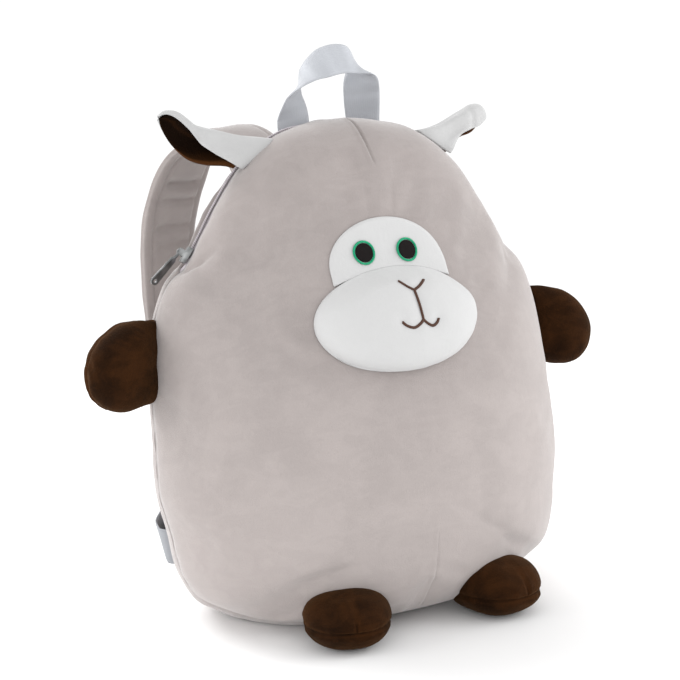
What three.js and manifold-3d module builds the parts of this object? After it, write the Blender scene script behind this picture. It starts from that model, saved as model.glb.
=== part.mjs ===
// A plush backpack for a child, shaped as a standing animal with a white face.
// Millimetres, +Z up, the face looks along -Y, and the origin is on the floor under the middle of the front seam.
import * as THREE from "three";
import { mergeVertices } from "three/addons/utils/BufferGeometryUtils.js";
import Module from "manifold-3d";

const wasm = await Module();
wasm.setup();

// Body
const BODY_HEIGHT = 330;
const BODY_WIDTH = 299;
const BELLY_DEPTH = 99; // from the front seam to the furthest point of the belly
const BACK_DEPTH = 60; // from the front seam to the rim of the back panel
const BACK_PUFF = 5; // how far the flat of the back panel stands behind its rim
const FRONT_PADDING = 10;
const BACK_PADDING = 8;
const FABRIC_WALL = 3;
const SIDE_PUFF = 3;
const BASE_SAG = 12; // how far the bottom fabric would hang if the floor didn't press it flat
const SEAM_GAP = 0.3;
const SEAT_GAP = 0.4; // between a piece that is sewn on and the body under it

// Zip
const ZIP_END_HEIGHT = 240;
const ZIP_SLOT = 11;
const TAPE_THICKNESS = 1.2;
const TAPE_RECESS = 1;
const CHAIN_WIDTH = 4.6;
const CHAIN_THICKNESS = 1.8;
const SLIDER_LENGTH = 11;
const SLIDER_WIDTH = 7.6;
const SLIDER_TOP = 1.4;
const BAIL_POST = 1.1;
const PIN_RADIUS = 0.8; // of the slider, on which the pull turns
const PULL_LENGTH = 28;
const PULL_WIDTH = 5.6;
const PULL_THICKNESS = 1.5;
const PULL_EYE_RADIUS = 2.3;
const PULL_LIFT = 11; // degrees between the hanging pull and the chain's line
const RUNNING_GAP = 0.4;

// Face
const FACE_THICKNESS = 1.6;
const FACE_WIDTH = 85;
const FACE_HEIGHT = 66;
const FACE_CENTRE_HEIGHT = 232;
const MUZZLE_WIDTH = 117;
const MUZZLE_HEIGHT = 64;
const MUZZLE_PUFF = 22;
const MUZZLE_CENTRE_HEIGHT = 201;
const MUZZLE_SHIFT = -1.5; // sideways, as it was sewn on
const MUZZLE_TILT = 3; // degrees, its right end up
const EYE_DIAMETER = 15.5;
const EYE_RING = 1.7;
const EYE_SPACING = 31.4;
const EYE_CENTRE_HEIGHT = 243;
const EYES_SHIFT = -1.5;
const SEAT_BOW = 1.6; // how far the middle of the muzzle's back stands off its seat
const STITCH_THICKNESS = 0.9;
const LINE_WIDTH = 2.4;
const NOSE_HEIGHT = 219;
const MOUTH_HEIGHT = 201;
const NOSE_WIDTH = 18;
const NOSE_RISE = 7;
const MOUTH_WIDTH = 26;
const MOUTH_SAG = 4.2;

// Limbs and ears
const ARM_LENGTH = 54;
const ARM_HEIGHT = 56.5;
const ARM_THICKNESS = 40;
const ARM_CENTRE_HEIGHT = 180;
const ARM_LEAD = 17; // of its tip before the seam it is sewn into
const FOOT_LENGTH = 56;
const FOOT_WIDTH = 55.5;
const FOOT_HEIGHT = 36;
const FOOT_SPACING = 100;
const FOOT_SETBACK = 56;
const FOOT_SPLAY = 13; // degrees
const EAR_LENGTH = 65;
const EAR_WIDTH = 38;
const EAR_FOLD = 22;
const EAR_CLOTH = 1.9;
const EAR_LINING = 1.5;
const EAR_CENTRE_HEIGHT = 312;

// Carrying parts
const WEBBING_WIDTH = 25;
const WEBBING_THICKNESS = 1.7;
const HANDLE_SPACING = 53;
const HANDLE_RISE = 45;
const HANDLE_SETBACK = 22;
const STRAP_WIDTH = 52;
const STRAP_THICKNESS = 10;
const ADJUSTER_LENGTH = 20;
const ADJUSTER_WIDTH = 34;
const ADJUSTER_THICKNESS = 7;

// Half of the front seam, from the top to the bottom: across as a share of half the width, height of the height, forward of the belly's depth.
const SEAM = [
  { across: 0, height: 1, forward: -0.02 },
  { across: 0.174, height: 0.993, forward: -0.02 },
  { across: 0.326, height: 0.976, forward: -0.02 },
  { across: 0.51, height: 0.916, forward: -0.02 },
  { across: 0.638, height: 0.84, forward: -0.02 },
  { across: 0.715, height: 0.783, forward: -0.02 },
  { across: 0.785, height: 0.733, forward: -0.03 },
  { across: 0.878, height: 0.692, forward: -0.04 },
  { across: 0.936, height: 0.63, forward: -0.06 },
  { across: 0.975, height: 0.53, forward: -0.06 },
  { across: 0.985, height: 0.4, forward: -0.02 },
  { across: 0.991, height: 0.28, forward: 0.045 },
  { across: 0.96, height: 0.2, forward: 0.08 },
  { across: 0.922, height: 0.121, forward: 0.08 },
  { across: 0.862, height: 0.074, forward: 0.08 },
  { across: 0.765, height: 0.048, forward: 0.12 },
  { across: 0.655, height: 0.033, forward: 0.27 },
  { across: 0.498, height: 0.025, forward: 0.5 },
  { across: 0.24, height: 0.024, forward: 0.665 },
  { across: 0, height: 0.024, forward: 0.7 },
];
// Depth of the front along its middle, as a share of the belly's depth, and of the back rim as a share of the back's.
const BELLY = [
  { height: 0, depth: 0.98 },
  { height: 0.12, depth: 1.01 },
  { height: 0.26, depth: 1 },
  { height: 0.45, depth: 0.94 },
  { height: 0.6, depth: 0.79 },
  { height: 0.675, depth: 0.72 },
  { height: 0.735, depth: 0.665 },
  { height: 0.82, depth: 0.69 },
  { height: 0.9, depth: 0.8 },
  { height: 1, depth: 0.86 },
];
const BACK = [
  { height: 0, depth: 0.9 },
  { height: 0.25, depth: 1 },
  { height: 0.5, depth: 0.97 },
  { height: 0.75, depth: 0.84 },
  { height: 0.9, depth: 0.68 },
  { height: 1, depth: 0.56 },
];
const BELLY_CENTRE = 0.287; // share of the height
const DOME_ROUNDNESS = 2.1;
const BACK_ACROSS = 0.86;
const BACK_UP = 0.955;
const BACK_CENTRE = 0.48;
const FRONT_REACHES = [0.006, 0.03, 0.08, 0.16, 0.25, 0.35, 0.46, 0.6, 0.78];
const LINING_REACHES = [0.02, 0.08, 0.2, 0.4, 0.66];
const SIDE_SHARES = [0.06, 0.16, 0.34, 0.6, 0.84];
const SIDE_LINING_SHARES = [0.16, 0.6];
const BACK_REACHES = [0.05, 0.14, 0.27, 0.42];

// An arm, a foot and an ear along their length, as shares of the named sizes.
const ARM = [
  { along: 0, height: 0.94, depth: 0.3, drop: 0 },
  { along: 0.15, height: 0.96, depth: 0.62, drop: 0 },
  { along: 0.35, height: 1, depth: 0.9, drop: 0.01 },
  { along: 0.55, height: 0.98, depth: 1, drop: 0.03 },
  { along: 0.75, height: 0.84, depth: 0.88, drop: 0.06 },
  { along: 0.9, height: 0.58, depth: 0.6, drop: 0.08 },
  { along: 0.975, height: 0.3, depth: 0.32, drop: 0.09 },
  { along: 1, height: 0, depth: 0, drop: 0.09 },
];
const FOOT = [
  { along: 0, width: 0.66, top: 0.5, bottom: 0.16 },
  { along: 0.15, width: 0.86, top: 0.74, bottom: 0.04 },
  { along: 0.38, width: 0.98, top: 0.96, bottom: -0.01 },
  { along: 0.58, width: 1, top: 1, bottom: -0.01 },
  { along: 0.76, width: 0.88, top: 0.93, bottom: 0.03 },
  { along: 0.89, width: 0.66, top: 0.79, bottom: 0.12 },
  { along: 0.97, width: 0.38, top: 0.62, bottom: 0.25 },
  { along: 1, width: 0, top: 0.43, bottom: 0.43 },
];
// An ear is a leaf folded along its ridge, with a front and a back edge: along the length, up in widths, back in folds.
const EAR = [
  { ridge: [-0.13, 0.36, 0.05], front: [0.14, -0.42, -0.16], back: [0.14, -0.42, 0.24] },
  { ridge: [0.12, 0.22, 0.09], front: [0.25, -0.42, -0.22], back: [0.24, -0.43, 0.3] },
  { ridge: [0.42, 0.17, 0.14], front: [0.43, -0.35, -0.26], back: [0.42, -0.47, 0.45] },
  { ridge: [0.6, 0.16, 0.17], front: [0.58, -0.24, -0.2], back: [0.6, -0.46, 0.56] },
  { ridge: [0.75, 0.19, 0.19], front: [0.73, -0.08, -0.06], back: [0.79, -0.34, 0.6] },
  { ridge: [0.88, 0.21, 0.22], front: [0.88, 0.1, 0.08], back: [0.93, -0.18, 0.52] },
  { ridge: [0.97, 0.15, 0.3], front: [0.955, 0.17, 0.22], back: [0.99, -0.02, 0.42] },
];
const EAR_AXIS = new THREE.Vector3(0.92, 0.1, 0.335);
const EAR_UP = new THREE.Vector3(-0.415, 0.14, 0.9);

// The handle from its left end to its right end, as it flops: across and rise in shares, lean as a share of the rise, and the direction of the webbing's width.
const HANDLE = [
  { across: -1, rise: -0.22, lean: 0, width: [1, 0, 0] },
  { across: -1.06, rise: 0.12, lean: 0.03, width: [1, 0.15, 0] },
  { across: -0.98, rise: 0.42, lean: 0.15, width: [0.7, 0.7, 0] },
  { across: -0.72, rise: 0.77, lean: 0.3, width: [0.15, 0.95, 0.3] },
  { across: -0.3, rise: 0.95, lean: 0.4, width: [-0.05, 0.8, 0.65] },
  { across: 0.14, rise: 0.97, lean: 0.42, width: [-0.1, 0.72, 0.75] },
  { across: 0.52, rise: 0.82, lean: 0.36, width: [-0.4, 0.7, 0.6] },
  { across: 0.84, rise: 0.5, lean: 0.2, width: [-0.85, 0.4, 0.1] },
  { across: 0.97, rise: 0.12, lean: 0.04, width: [-1, 0.1, 0] },
  { across: 0.97, rise: -0.22, lean: 0, width: [-1, 0, 0] },
];
// The left shoulder strap and the webbing under it: routes chosen by eye, in millimetres, with the direction of their width.
const STRAP_ROUTE = [
  { at: [-34, 46, 286], width: [1, 0, 0] },
  { at: [-36, 74, 314], width: [1, 0.05, 0] },
  { at: [-46, 99, 327], width: [0.97, 0.2, 0.1] },
  { at: [-63, 117, 316], width: [0.9, 0.38, 0.25] },
  { at: [-76, 126, 292], width: [0.9, 0.42, 0.1] },
  { at: [-85, 130, 257], width: [0.9, 0.43, 0] },
  { at: [-87, 130, 215], width: [0.9, 0.43, 0] },
  { at: [-87, 124, 170], width: [0.9, 0.43, 0] },
  { at: [-86, 112, 128], width: [0.9, 0.43, 0] },
];
const WEBBING_ROUTE = [
  { at: [-93, 88, 85], width: [0.84, 0.34, -0.42] },
  { at: [-106, 75, 69], width: [0.75, 0.22, -0.62] },
  { at: [-120, 62, 57], width: [0.6, 0.08, -0.8] },
  { at: [-131, 49, 51.5], width: [0.35, 0, -0.94] },
  { at: [-135, 38, 50.5], width: [0.2, 0, -0.97] },
  { at: [-135, 31, 49.5], width: [0.2, 0, -0.97] },
  { at: [-128, 26, 49], width: [0.2, 0, -0.97] },
  { at: [-116, 24, 49], width: [0.2, 0, -0.97] },
];

const COLUMNS = 52;
const LIMB_SIDES = 16;

const finish = (color, roughness = 0.9, metalness = 0) =>
  new THREE.MeshStandardMaterial({ color, roughness, metalness });
const FINISHES = {
  velour: finish("#bdb3ae"),
  white: finish("#efeeec"),
  brown: finish("#3b2415"),
  green: finish("#3fae86"),
  black: finish("#23211f"),
  webbing: finish("#c2c5ca"),
  tape: finish("#a7a1aa"),
  metal: finish("#b9bbbd", 0.3, 1),
  plastic: finish("#8f8d8c", 0.5),
};

const bag = new THREE.Group();

function add(name, geometry, material, parent = bag) {
  const mesh = new THREE.Mesh(geometry, material);
  mesh.name = name;
  parent.add(mesh);
  return mesh;
}

// A closed geometry with its shared vertices merged, no collapsed faces, and its faces turned outwards.
function closed(positions, faces) {
  const raw = new THREE.BufferGeometry();
  raw.setAttribute("position", new THREE.Float32BufferAttribute(positions, 3));
  raw.setIndex(faces);
  const merged = mergeVertices(raw, 1e-3);
  const corner = (i) => new THREE.Vector3().fromBufferAttribute(merged.attributes.position, i);
  const kept = [];
  let volume = 0;
  for (let i = 0; i < merged.index.count; i += 3) {
    const [a, b, c] = [0, 1, 2].map((k) => merged.index.getX(i + k));
    if (a === b || b === c || c === a) continue;
    kept.push(a, b, c);
    volume += corner(a).dot(corner(b).cross(corner(c)));
  }
  if (volume < 0) kept.reverse();
  merged.setIndex(kept);
  merged.computeVertexNormals();
  return merged;
}

// A skin over a row of rings with the same even number of points. Both ends are capped, or the last ring joins the first.
// The second half of a ring is split the other way, so the two faces of a twisted band keep the same diagonals.
function ringSolid(rings, { loop = false } = {}) {
  const size = rings[0].length;
  const faces = [];
  const quad = (a, b, c, d) => faces.push(a, b, c, a, c, d);
  rings.forEach((_, i) => {
    if (!loop && i === rings.length - 1) return;
    const here = i * size;
    const next = ((i + 1) % rings.length) * size;
    for (let j = 0; j < size; j++) {
      const k = (j + 1) % size;
      if (j < size / 2) quad(here + j, here + k, next + k, next + j);
      else quad(here + k, next + k, next + j, here + j);
    }
  });
  const end = (rings.length - 1) * size;
  for (let j = 0; j < size / 2 - 1 && !loop; j++) {
    const k = size - 1 - j;
    quad(k, k - 1, j + 1, j);
    quad(end + j, end + j + 1, end + k - 1, end + k);
  }
  return closed(rings.flat().flatMap((p) => p.toArray()), faces);
}

function toSolid(geometry) {
  return new wasm.Manifold(
    new wasm.Mesh({
      numProp: 3,
      vertProperties: new Float32Array(geometry.attributes.position.array),
      triVerts: new Uint32Array(geometry.index.array),
    }),
  );
}

function toGeometry(solid) {
  const { vertProperties, triVerts } = solid.getMesh();
  return closed(Array.from(vertProperties), Array.from(triVerts));
}

// A smooth value from a table whose rows are sorted by one column.
function sampler(rows, key, column) {
  const spline = new THREE.CubicInterpolant(
    rows.map((row) => row[key]),
    rows.map((row) => row[column]),
    1,
  );
  const first = rows[0][key];
  const last = rows[rows.length - 1][key];
  return (value) => spline.evaluate(THREE.MathUtils.clamp(value, first, last))[0];
}

const bellyDepth = sampler(BELLY, "height", "depth");
const backDepth = sampler(BACK, "height", "depth");

// The front seam is one closed curve: down the right side, along the bottom, and up the left side.
const seamHalf = SEAM.map(
  ({ across, height, forward }) =>
    new THREE.Vector3((across * BODY_WIDTH) / 2, -forward * BELLY_DEPTH, height * BODY_HEIGHT),
);
const mirrored = (point) => new THREE.Vector3(-point.x, point.y, point.z);
const seamCurve = new THREE.CatmullRomCurve3(
  [...seamHalf, ...seamHalf.slice(1, -1).reverse().map(mirrored)],
  true,
);
seamCurve.arcLengthDivisions = 1200;
const seamLength = seamCurve.getLength();

function seamAt(u) {
  const share = ((u % 1) + 1) % 1;
  const at = seamCurve.getPointAt(share);
  const along = seamCurve.getTangentAt(share);
  const out = new THREE.Vector3(-along.z, 0, along.x).normalize();
  const rim = new THREE.Vector3(
    at.x * BACK_ACROSS,
    BACK_DEPTH * backDepth(at.z / BODY_HEIGHT),
    at.z * BACK_UP,
  );
  return { u: share, at, along, out, rim };
}

// Where the right half of the seam passes a height, on the upper side.
function seamShareAt(height) {
  let low = 0;
  let high = 0.42;
  for (let i = 0; i < 40; i++) {
    const middle = (low + high) / 2;
    if (seamCurve.getPointAt(middle).z > height) low = middle;
    else high = middle;
  }
  return low;
}

const zipEnd = seamShareAt(ZIP_END_HEIGHT);
const zipStep = 1.5 / seamLength;
const sliderEnd = zipEnd - (SLIDER_LENGTH + 5) / seamLength;

// Columns run round the seam evenly, with two close together at each end of the zip and none along the slider.
const columns = (() => {
  const ends = [sliderEnd, zipEnd, zipEnd + zipStep].flatMap((u) => [u, 1 - u]);
  const spaced = Array.from({ length: COLUMNS }, (_, i) => i / COLUMNS).filter((u) =>
    ends.every((end) => Math.abs(u - end) > 0.4 / COLUMNS),
  );
  const all = [...spaced, ...ends].sort((a, b) => a - b);
  return all.map(seamAt);
})();
const ringOf = (point) => columns.map(point);

const besideZip = (u) => u <= zipEnd + 1e-9 || u >= 1 - zipEnd - 1e-9;
const roundness = (reach) => (1 - (1 - reach) ** DOME_ROUNDNESS) ** (1 / DOME_ROUNDNESS);
const bellyCentre = new THREE.Vector3(0, 0, BELLY_CENTRE * BODY_HEIGHT);

// A point of the front panel: reach 0 is on the seam and 1 at the middle of the belly.
function frontPoint({ at, out }, reach, edge = 0, padding = 0) {
  const start = at.clone().addScaledVector(out, -edge);
  const point = start.clone().lerp(bellyCentre, reach);
  const rise = roundness(reach);
  const depth = BELLY_DEPTH * bellyDepth(point.z / BODY_HEIGHT) - padding;
  point.y = start.y * (1 - rise) - depth * rise;
  return point;
}

// A point of the fabric between the front seam and the back panel's rim, pressed flat where it meets the floor.
function sidePoint({ at, out, rim }, share, inset = 0) {
  const sag = THREE.MathUtils.lerp(SIDE_PUFF, BASE_SAG, Math.max(0, -out.z) ** 4);
  const point = at.clone().lerp(rim, share);
  const puff = 1 - Math.abs(2 * share - 1) ** 3;
  point.addScaledVector(out, sag * puff - inset);
  point.z = Math.max(point.z, inset);
  return point;
}

const backCentre = new THREE.Vector3(0, 0, BACK_CENTRE * BODY_HEIGHT);
const backFlat = BACK_DEPTH + BACK_PUFF;

// A point of the back panel: reach 0 is on its rim, and past the last table value it is flat.
function backPoint({ at, out, rim }, reach, edge = 0, inset = 0) {
  const start = rim.clone().addScaledVector(out, -edge);
  const point = start.clone().lerp(backCentre, reach);
  const steepness = 1 - Math.min(1, reach / BACK_REACHES.at(-1));
  point.y = THREE.MathUtils.lerp(start.y, backFlat, 1 - steepness ** 2.2) - inset;
  return point;
}

// The whole bag as one filled solid, with some clearance round it, which trims what is sewn on from outside.
function filledBag(clearance) {
  const c = clearance;
  return toSolid(
    ringSolid([
      ringOf((s) => frontPoint(s, 1, -c, -c)),
      ...FRONT_REACHES.toReversed().map((reach) => ringOf((s) => frontPoint(s, reach, -c, -c))),
      ringOf((s) => frontPoint(s, 0, -c, -c)),
      ...SIDE_SHARES.map((share) => ringOf((s) => sidePoint(s, share, -c))),
      ringOf((s) => sidePoint(s, 1, -c)),
      ...BACK_REACHES.map((reach) => ringOf((s) => backPoint(s, reach, -c, -c))),
      ringOf((s) => backPoint(s, 1, -c, -c)),
    ]),
  );
}

// Height of the front surface: the ray from the belly's middle through a point meets the seam, and that gives its reach.
const seamSamples = Array.from({ length: 720 }, (_, i) => seamAt(i / 720));
function frontDepth(x, z) {
  const dx = x - bellyCentre.x;
  const dz = z - bellyCentre.z;
  const angle = Math.atan2(dx, dz);
  const turnOf = ({ at }) => Math.atan2(at.x - bellyCentre.x, at.z - bellyCentre.z);
  const gap = (s) => Math.abs(THREE.MathUtils.euclideanModulo(turnOf(s) - angle + Math.PI, 2 * Math.PI) - Math.PI);
  const nearest = seamSamples.reduce((best, s) => (gap(s) < gap(best) ? s : best));
  const full = Math.hypot(nearest.at.x - bellyCentre.x, nearest.at.z - bellyCentre.z);
  const rise = roundness(Math.max(0, 1 - Math.hypot(dx, dz) / full));
  return nearest.at.y * (1 - rise) - BELLY_DEPTH * bellyDepth(z / BODY_HEIGHT) * rise;
}

function buildBody() {
  add(
    "front_panel",
    ringSolid([
      ringOf((s) => frontPoint(s, 1)),
      ...FRONT_REACHES.toReversed().map((reach) => ringOf((s) => frontPoint(s, reach))),
      ringOf((s) => frontPoint(s, 0)),
      ringOf((s) => frontPoint(s, 0, FABRIC_WALL)),
      ...LINING_REACHES.map((reach) => ringOf((s) => frontPoint(s, reach, FABRIC_WALL, FRONT_PADDING))),
      ringOf((s) => frontPoint(s, 1, FABRIC_WALL, FRONT_PADDING)),
    ]),
    FINISHES.velour,
  );

  // The side fabric starts behind the zip's slot, or else right behind the front seam.
  const startShare = (s) => (besideZip(s.u) ? ZIP_SLOT : SEAM_GAP) / s.at.distanceTo(s.rim);
  const endShare = (s) => 1 - SEAM_GAP / s.at.distanceTo(s.rim);
  const sideRing = (share, inset) =>
    ringOf((s) => sidePoint(s, THREE.MathUtils.lerp(startShare(s), endShare(s), share), inset));
  add(
    "side_gusset",
    ringSolid(
      [
        ...[0, ...SIDE_SHARES, 1].map((share) => sideRing(share, 0)),
        ...[1, ...SIDE_LINING_SHARES.toReversed(), 0].map((share) => sideRing(share, FABRIC_WALL)),
      ],
      { loop: true },
    ),
    FINISHES.velour,
  );

  add(
    "back_panel",
    ringSolid([
      ringOf((s) => backPoint(s, 1)),
      ...BACK_REACHES.toReversed().map((reach) => ringOf((s) => backPoint(s, reach))),
      ringOf((s) => backPoint(s, 0)),
      ringOf((s) => backPoint(s, 0, FABRIC_WALL)),
      ...BACK_REACHES.slice(1).map((reach) => ringOf((s) => backPoint(s, reach, FABRIC_WALL, BACK_PADDING))),
      ringOf((s) => backPoint(s, 1, FABRIC_WALL, BACK_PADDING)),
    ]),
    FINISHES.velour,
  );
}

// The place on the zip's line at a share of the seam, at a distance behind the front seam and above the tape.
function zipPoint(u, behind, above) {
  const s = seamAt(u);
  return sidePoint(s, behind / s.at.distanceTo(s.rim), TAPE_RECESS - above);
}

const zipColumns = columns
  .filter(({ u }) => besideZip(u))
  .map(({ u }) => (u > 0.5 ? u - 1 : u))
  .sort((a, b) => a - b);
const chainBehind = ZIP_SLOT / 2 - SEAM_GAP;
const chainTop = SEAM_GAP + CHAIN_THICKNESS;

// A flat strip along the zip, between two distances behind the front seam and two heights above the tape.
function zipStrip(from, to, bottom, top) {
  return ringSolid(
    zipColumns.map((u) => [
      zipPoint(u, from, top),
      zipPoint(u, to, top),
      zipPoint(u, to, bottom),
      zipPoint(u, from, bottom),
    ]),
  );
}

// The chain with clearance round it.
function chainStrip(clearance = 0) {
  const half = CHAIN_WIDTH / 2 + clearance;
  return zipStrip(chainBehind - half, chainBehind + half, SEAM_GAP - clearance, chainTop + clearance);
}

// The slot and the chain in it with clearance, which trims what crosses the zip.
function filledSlot(clearance) {
  const slot = zipStrip(-clearance, ZIP_SLOT + clearance, -TAPE_THICKNESS, TAPE_RECESS);
  return toSolid(slot).add(toSolid(chainStrip(clearance)));
}

function buildZip() {
  add("zip_tape", zipStrip(SEAM_GAP, ZIP_SLOT - SEAM_GAP, -TAPE_THICKNESS, 0), FINISHES.tape);
  add("zip_chain", chainStrip(0), FINISHES.tape);

  // The slider's frame: X along the zip towards its lower end, Y across it, Z out of the bag.
  const between = (behind) => zipPoint(-zipEnd, behind, 0).lerp(zipPoint(-sliderEnd, behind, 0), 0.46);
  const seat = between(chainBehind);
  const down = zipPoint(-zipEnd, chainBehind, 0).sub(zipPoint(-sliderEnd, chainBehind, 0)).normalize();
  const across = between(chainBehind + 1).sub(between(chainBehind - 1));
  const out = across.clone().cross(down).normalize();
  if (out.dot(seamAt(-zipEnd).out) < 0) out.negate();
  const frame = new THREE.Group();
  frame.matrixAutoUpdate = false;
  frame.matrix.makeBasis(down, out.clone().cross(down), out).setPosition(seat);
  bag.add(frame);

  // Its section bridges the chain; two posts and a pin on top hold the pull.
  const channel = CHAIN_WIDTH / 2 + RUNNING_GAP;
  const roof = chainTop + RUNNING_GAP;
  const section = new THREE.Shape()
    .moveTo(-SLIDER_WIDTH / 2, RUNNING_GAP)
    .lineTo(-channel, RUNNING_GAP)
    .lineTo(-channel, roof)
    .lineTo(channel, roof)
    .lineTo(channel, RUNNING_GAP)
    .lineTo(SLIDER_WIDTH / 2, RUNNING_GAP)
    .lineTo(SLIDER_WIDTH / 2 - 0.6, roof + SLIDER_TOP)
    .lineTo(-SLIDER_WIDTH / 2 + 0.6, roof + SLIDER_TOP)
    .closePath();
  const body = upright(new THREE.ExtrudeGeometry(section, { depth: SLIDER_LENGTH, bevelEnabled: false }));
  body.translate(-SLIDER_LENGTH / 2, 0, 0);
  const eyeWidth = PULL_WIDTH * 0.55;
  const postCentre = eyeWidth / 2 + RUNNING_GAP + BAIL_POST / 2;
  const pinHeight = roof + SLIDER_TOP + PULL_EYE_RADIUS + RUNNING_GAP;
  const postHeight = PULL_EYE_RADIUS + RUNNING_GAP + 2 * PIN_RADIUS;
  const pieces = [-1, 1].map((side) => {
    const post = new THREE.BoxGeometry(2 * PULL_EYE_RADIUS, BAIL_POST, postHeight);
    return post.translate(0, side * postCentre, roof + SLIDER_TOP + postHeight / 2 - 0.3);
  });
  const pin = new THREE.CylinderGeometry(PIN_RADIUS, PIN_RADIUS, 2 * postCentre, 8);
  pieces.push(pin.translate(0, 0, pinHeight));
  const slider = pieces.map(bare).reduce((whole, piece) => whole.add(toSolid(piece)), toSolid(bare(body)));
  add("zip_slider", toGeometry(slider), FINISHES.metal, frame);

  // The pull turns on that pin, and rests a little off the fabric below the zip's end.
  const pull = new THREE.Group();
  pull.position.set(0, 0, pinHeight);
  pull.rotation.y = -THREE.MathUtils.degToRad(PULL_LIFT);
  frame.add(pull);
  const blade = new THREE.Shape()
    .moveTo(1.2, -eyeWidth / 2)
    .lineTo(5, -eyeWidth / 2)
    .lineTo(7, -PULL_WIDTH / 2)
    .lineTo(PULL_LENGTH - 3, -PULL_WIDTH / 2)
    .absarc(PULL_LENGTH - PULL_WIDTH / 2, 0, PULL_WIDTH / 2, -Math.PI / 2, Math.PI / 2)
    .lineTo(7, PULL_WIDTH / 2)
    .lineTo(5, eyeWidth / 2)
    .lineTo(1.2, eyeWidth / 2)
    .closePath();
  blade.holes.push(new THREE.Path().absarc(PULL_LENGTH - PULL_WIDTH / 2, 0, PULL_WIDTH / 4, 0, 2 * Math.PI));
  const plate = new THREE.ExtrudeGeometry(blade, { depth: PULL_THICKNESS, bevelEnabled: false, curveSegments: 5 });
  plate.translate(0, 0, -PULL_THICKNESS / 2);
  const eye = new THREE.CylinderGeometry(PULL_EYE_RADIUS, PULL_EYE_RADIUS, eyeWidth, 12);
  const bore = new THREE.CylinderGeometry(PIN_RADIUS + RUNNING_GAP, PIN_RADIUS + RUNNING_GAP, 2 * eyeWidth, 12);
  const made = toSolid(bare(plate)).add(toSolid(bare(eye))).subtract(toSolid(bare(bore)));
  add("zip_pull", toGeometry(made), FINISHES.metal, pull);
}

// An extrusion along Z, turned so that it runs along X with its section's X across and its Y up.
function upright(geometry) {
  const turn = new THREE.Matrix4().makeBasis(
    new THREE.Vector3(0, 1, 0),
    new THREE.Vector3(0, 0, 1),
    new THREE.Vector3(1, 0, 0),
  );
  return geometry.applyMatrix4(turn);
}

function bare(geometry) {
  const plain = geometry.clone();
  plain.deleteAttribute("normal");
  plain.deleteAttribute("uv");
  return mergeVertices(plain, 1e-4);
}

// Points round an ellipse on the front: the angle starts at its top and runs to the right.
const aroundEllipse = (width, height, middle, sides, slope = 0) =>
  Array.from({ length: sides }, (_, i) => {
    const angle = (2 * Math.PI * i) / sides;
    const dx = (Math.sin(angle) * width) / 2;
    return { x: middle.x + dx, z: middle.z + dx * slope + (Math.cos(angle) * height) / 2 };
  });

// A layer that follows the front: rings from an outline to its middle, between two heights over the fabric.
function layer(outline, middle, reaches, bottom, top) {
  const ring = (reach, height) =>
    outline.map(({ x, z }) => {
      const px = THREE.MathUtils.lerp(x, middle.x, reach);
      const pz = THREE.MathUtils.lerp(z, middle.z, reach);
      return new THREE.Vector3(px, frontDepth(px, pz) - height(reach, px, pz), pz);
    });
  return ringSolid([
    ...[1, ...reaches.toReversed(), 0].map((reach) => ring(reach, top)),
    ...[0, ...reaches, 1].map((reach) => ring(reach, bottom)),
  ]);
}

const muzzleMiddle = { x: MUZZLE_SHIFT, z: MUZZLE_CENTRE_HEIGHT };
const muzzleSlope = Math.tan(THREE.MathUtils.degToRad(MUZZLE_TILT));
const muzzleOutline = (grow) =>
  aroundEllipse(MUZZLE_WIDTH + 2 * grow, MUZZLE_HEIGHT + 2 * grow, muzzleMiddle, 30, muzzleSlope);
const muzzleRise = (reach) => MUZZLE_PUFF * (1 - (1 - reach) ** 2.2) ** 0.5;

// How far the muzzle stands over the front at a point.
function muzzleHeight(x, z) {
  const dx = x - muzzleMiddle.x;
  const dz = z - muzzleMiddle.z - dx * muzzleSlope;
  const radius = Math.hypot((2 * dx) / MUZZLE_WIDTH, (2 * dz) / MUZZLE_HEIGHT);
  return muzzleRise(Math.max(0, 1 - radius));
}

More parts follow.
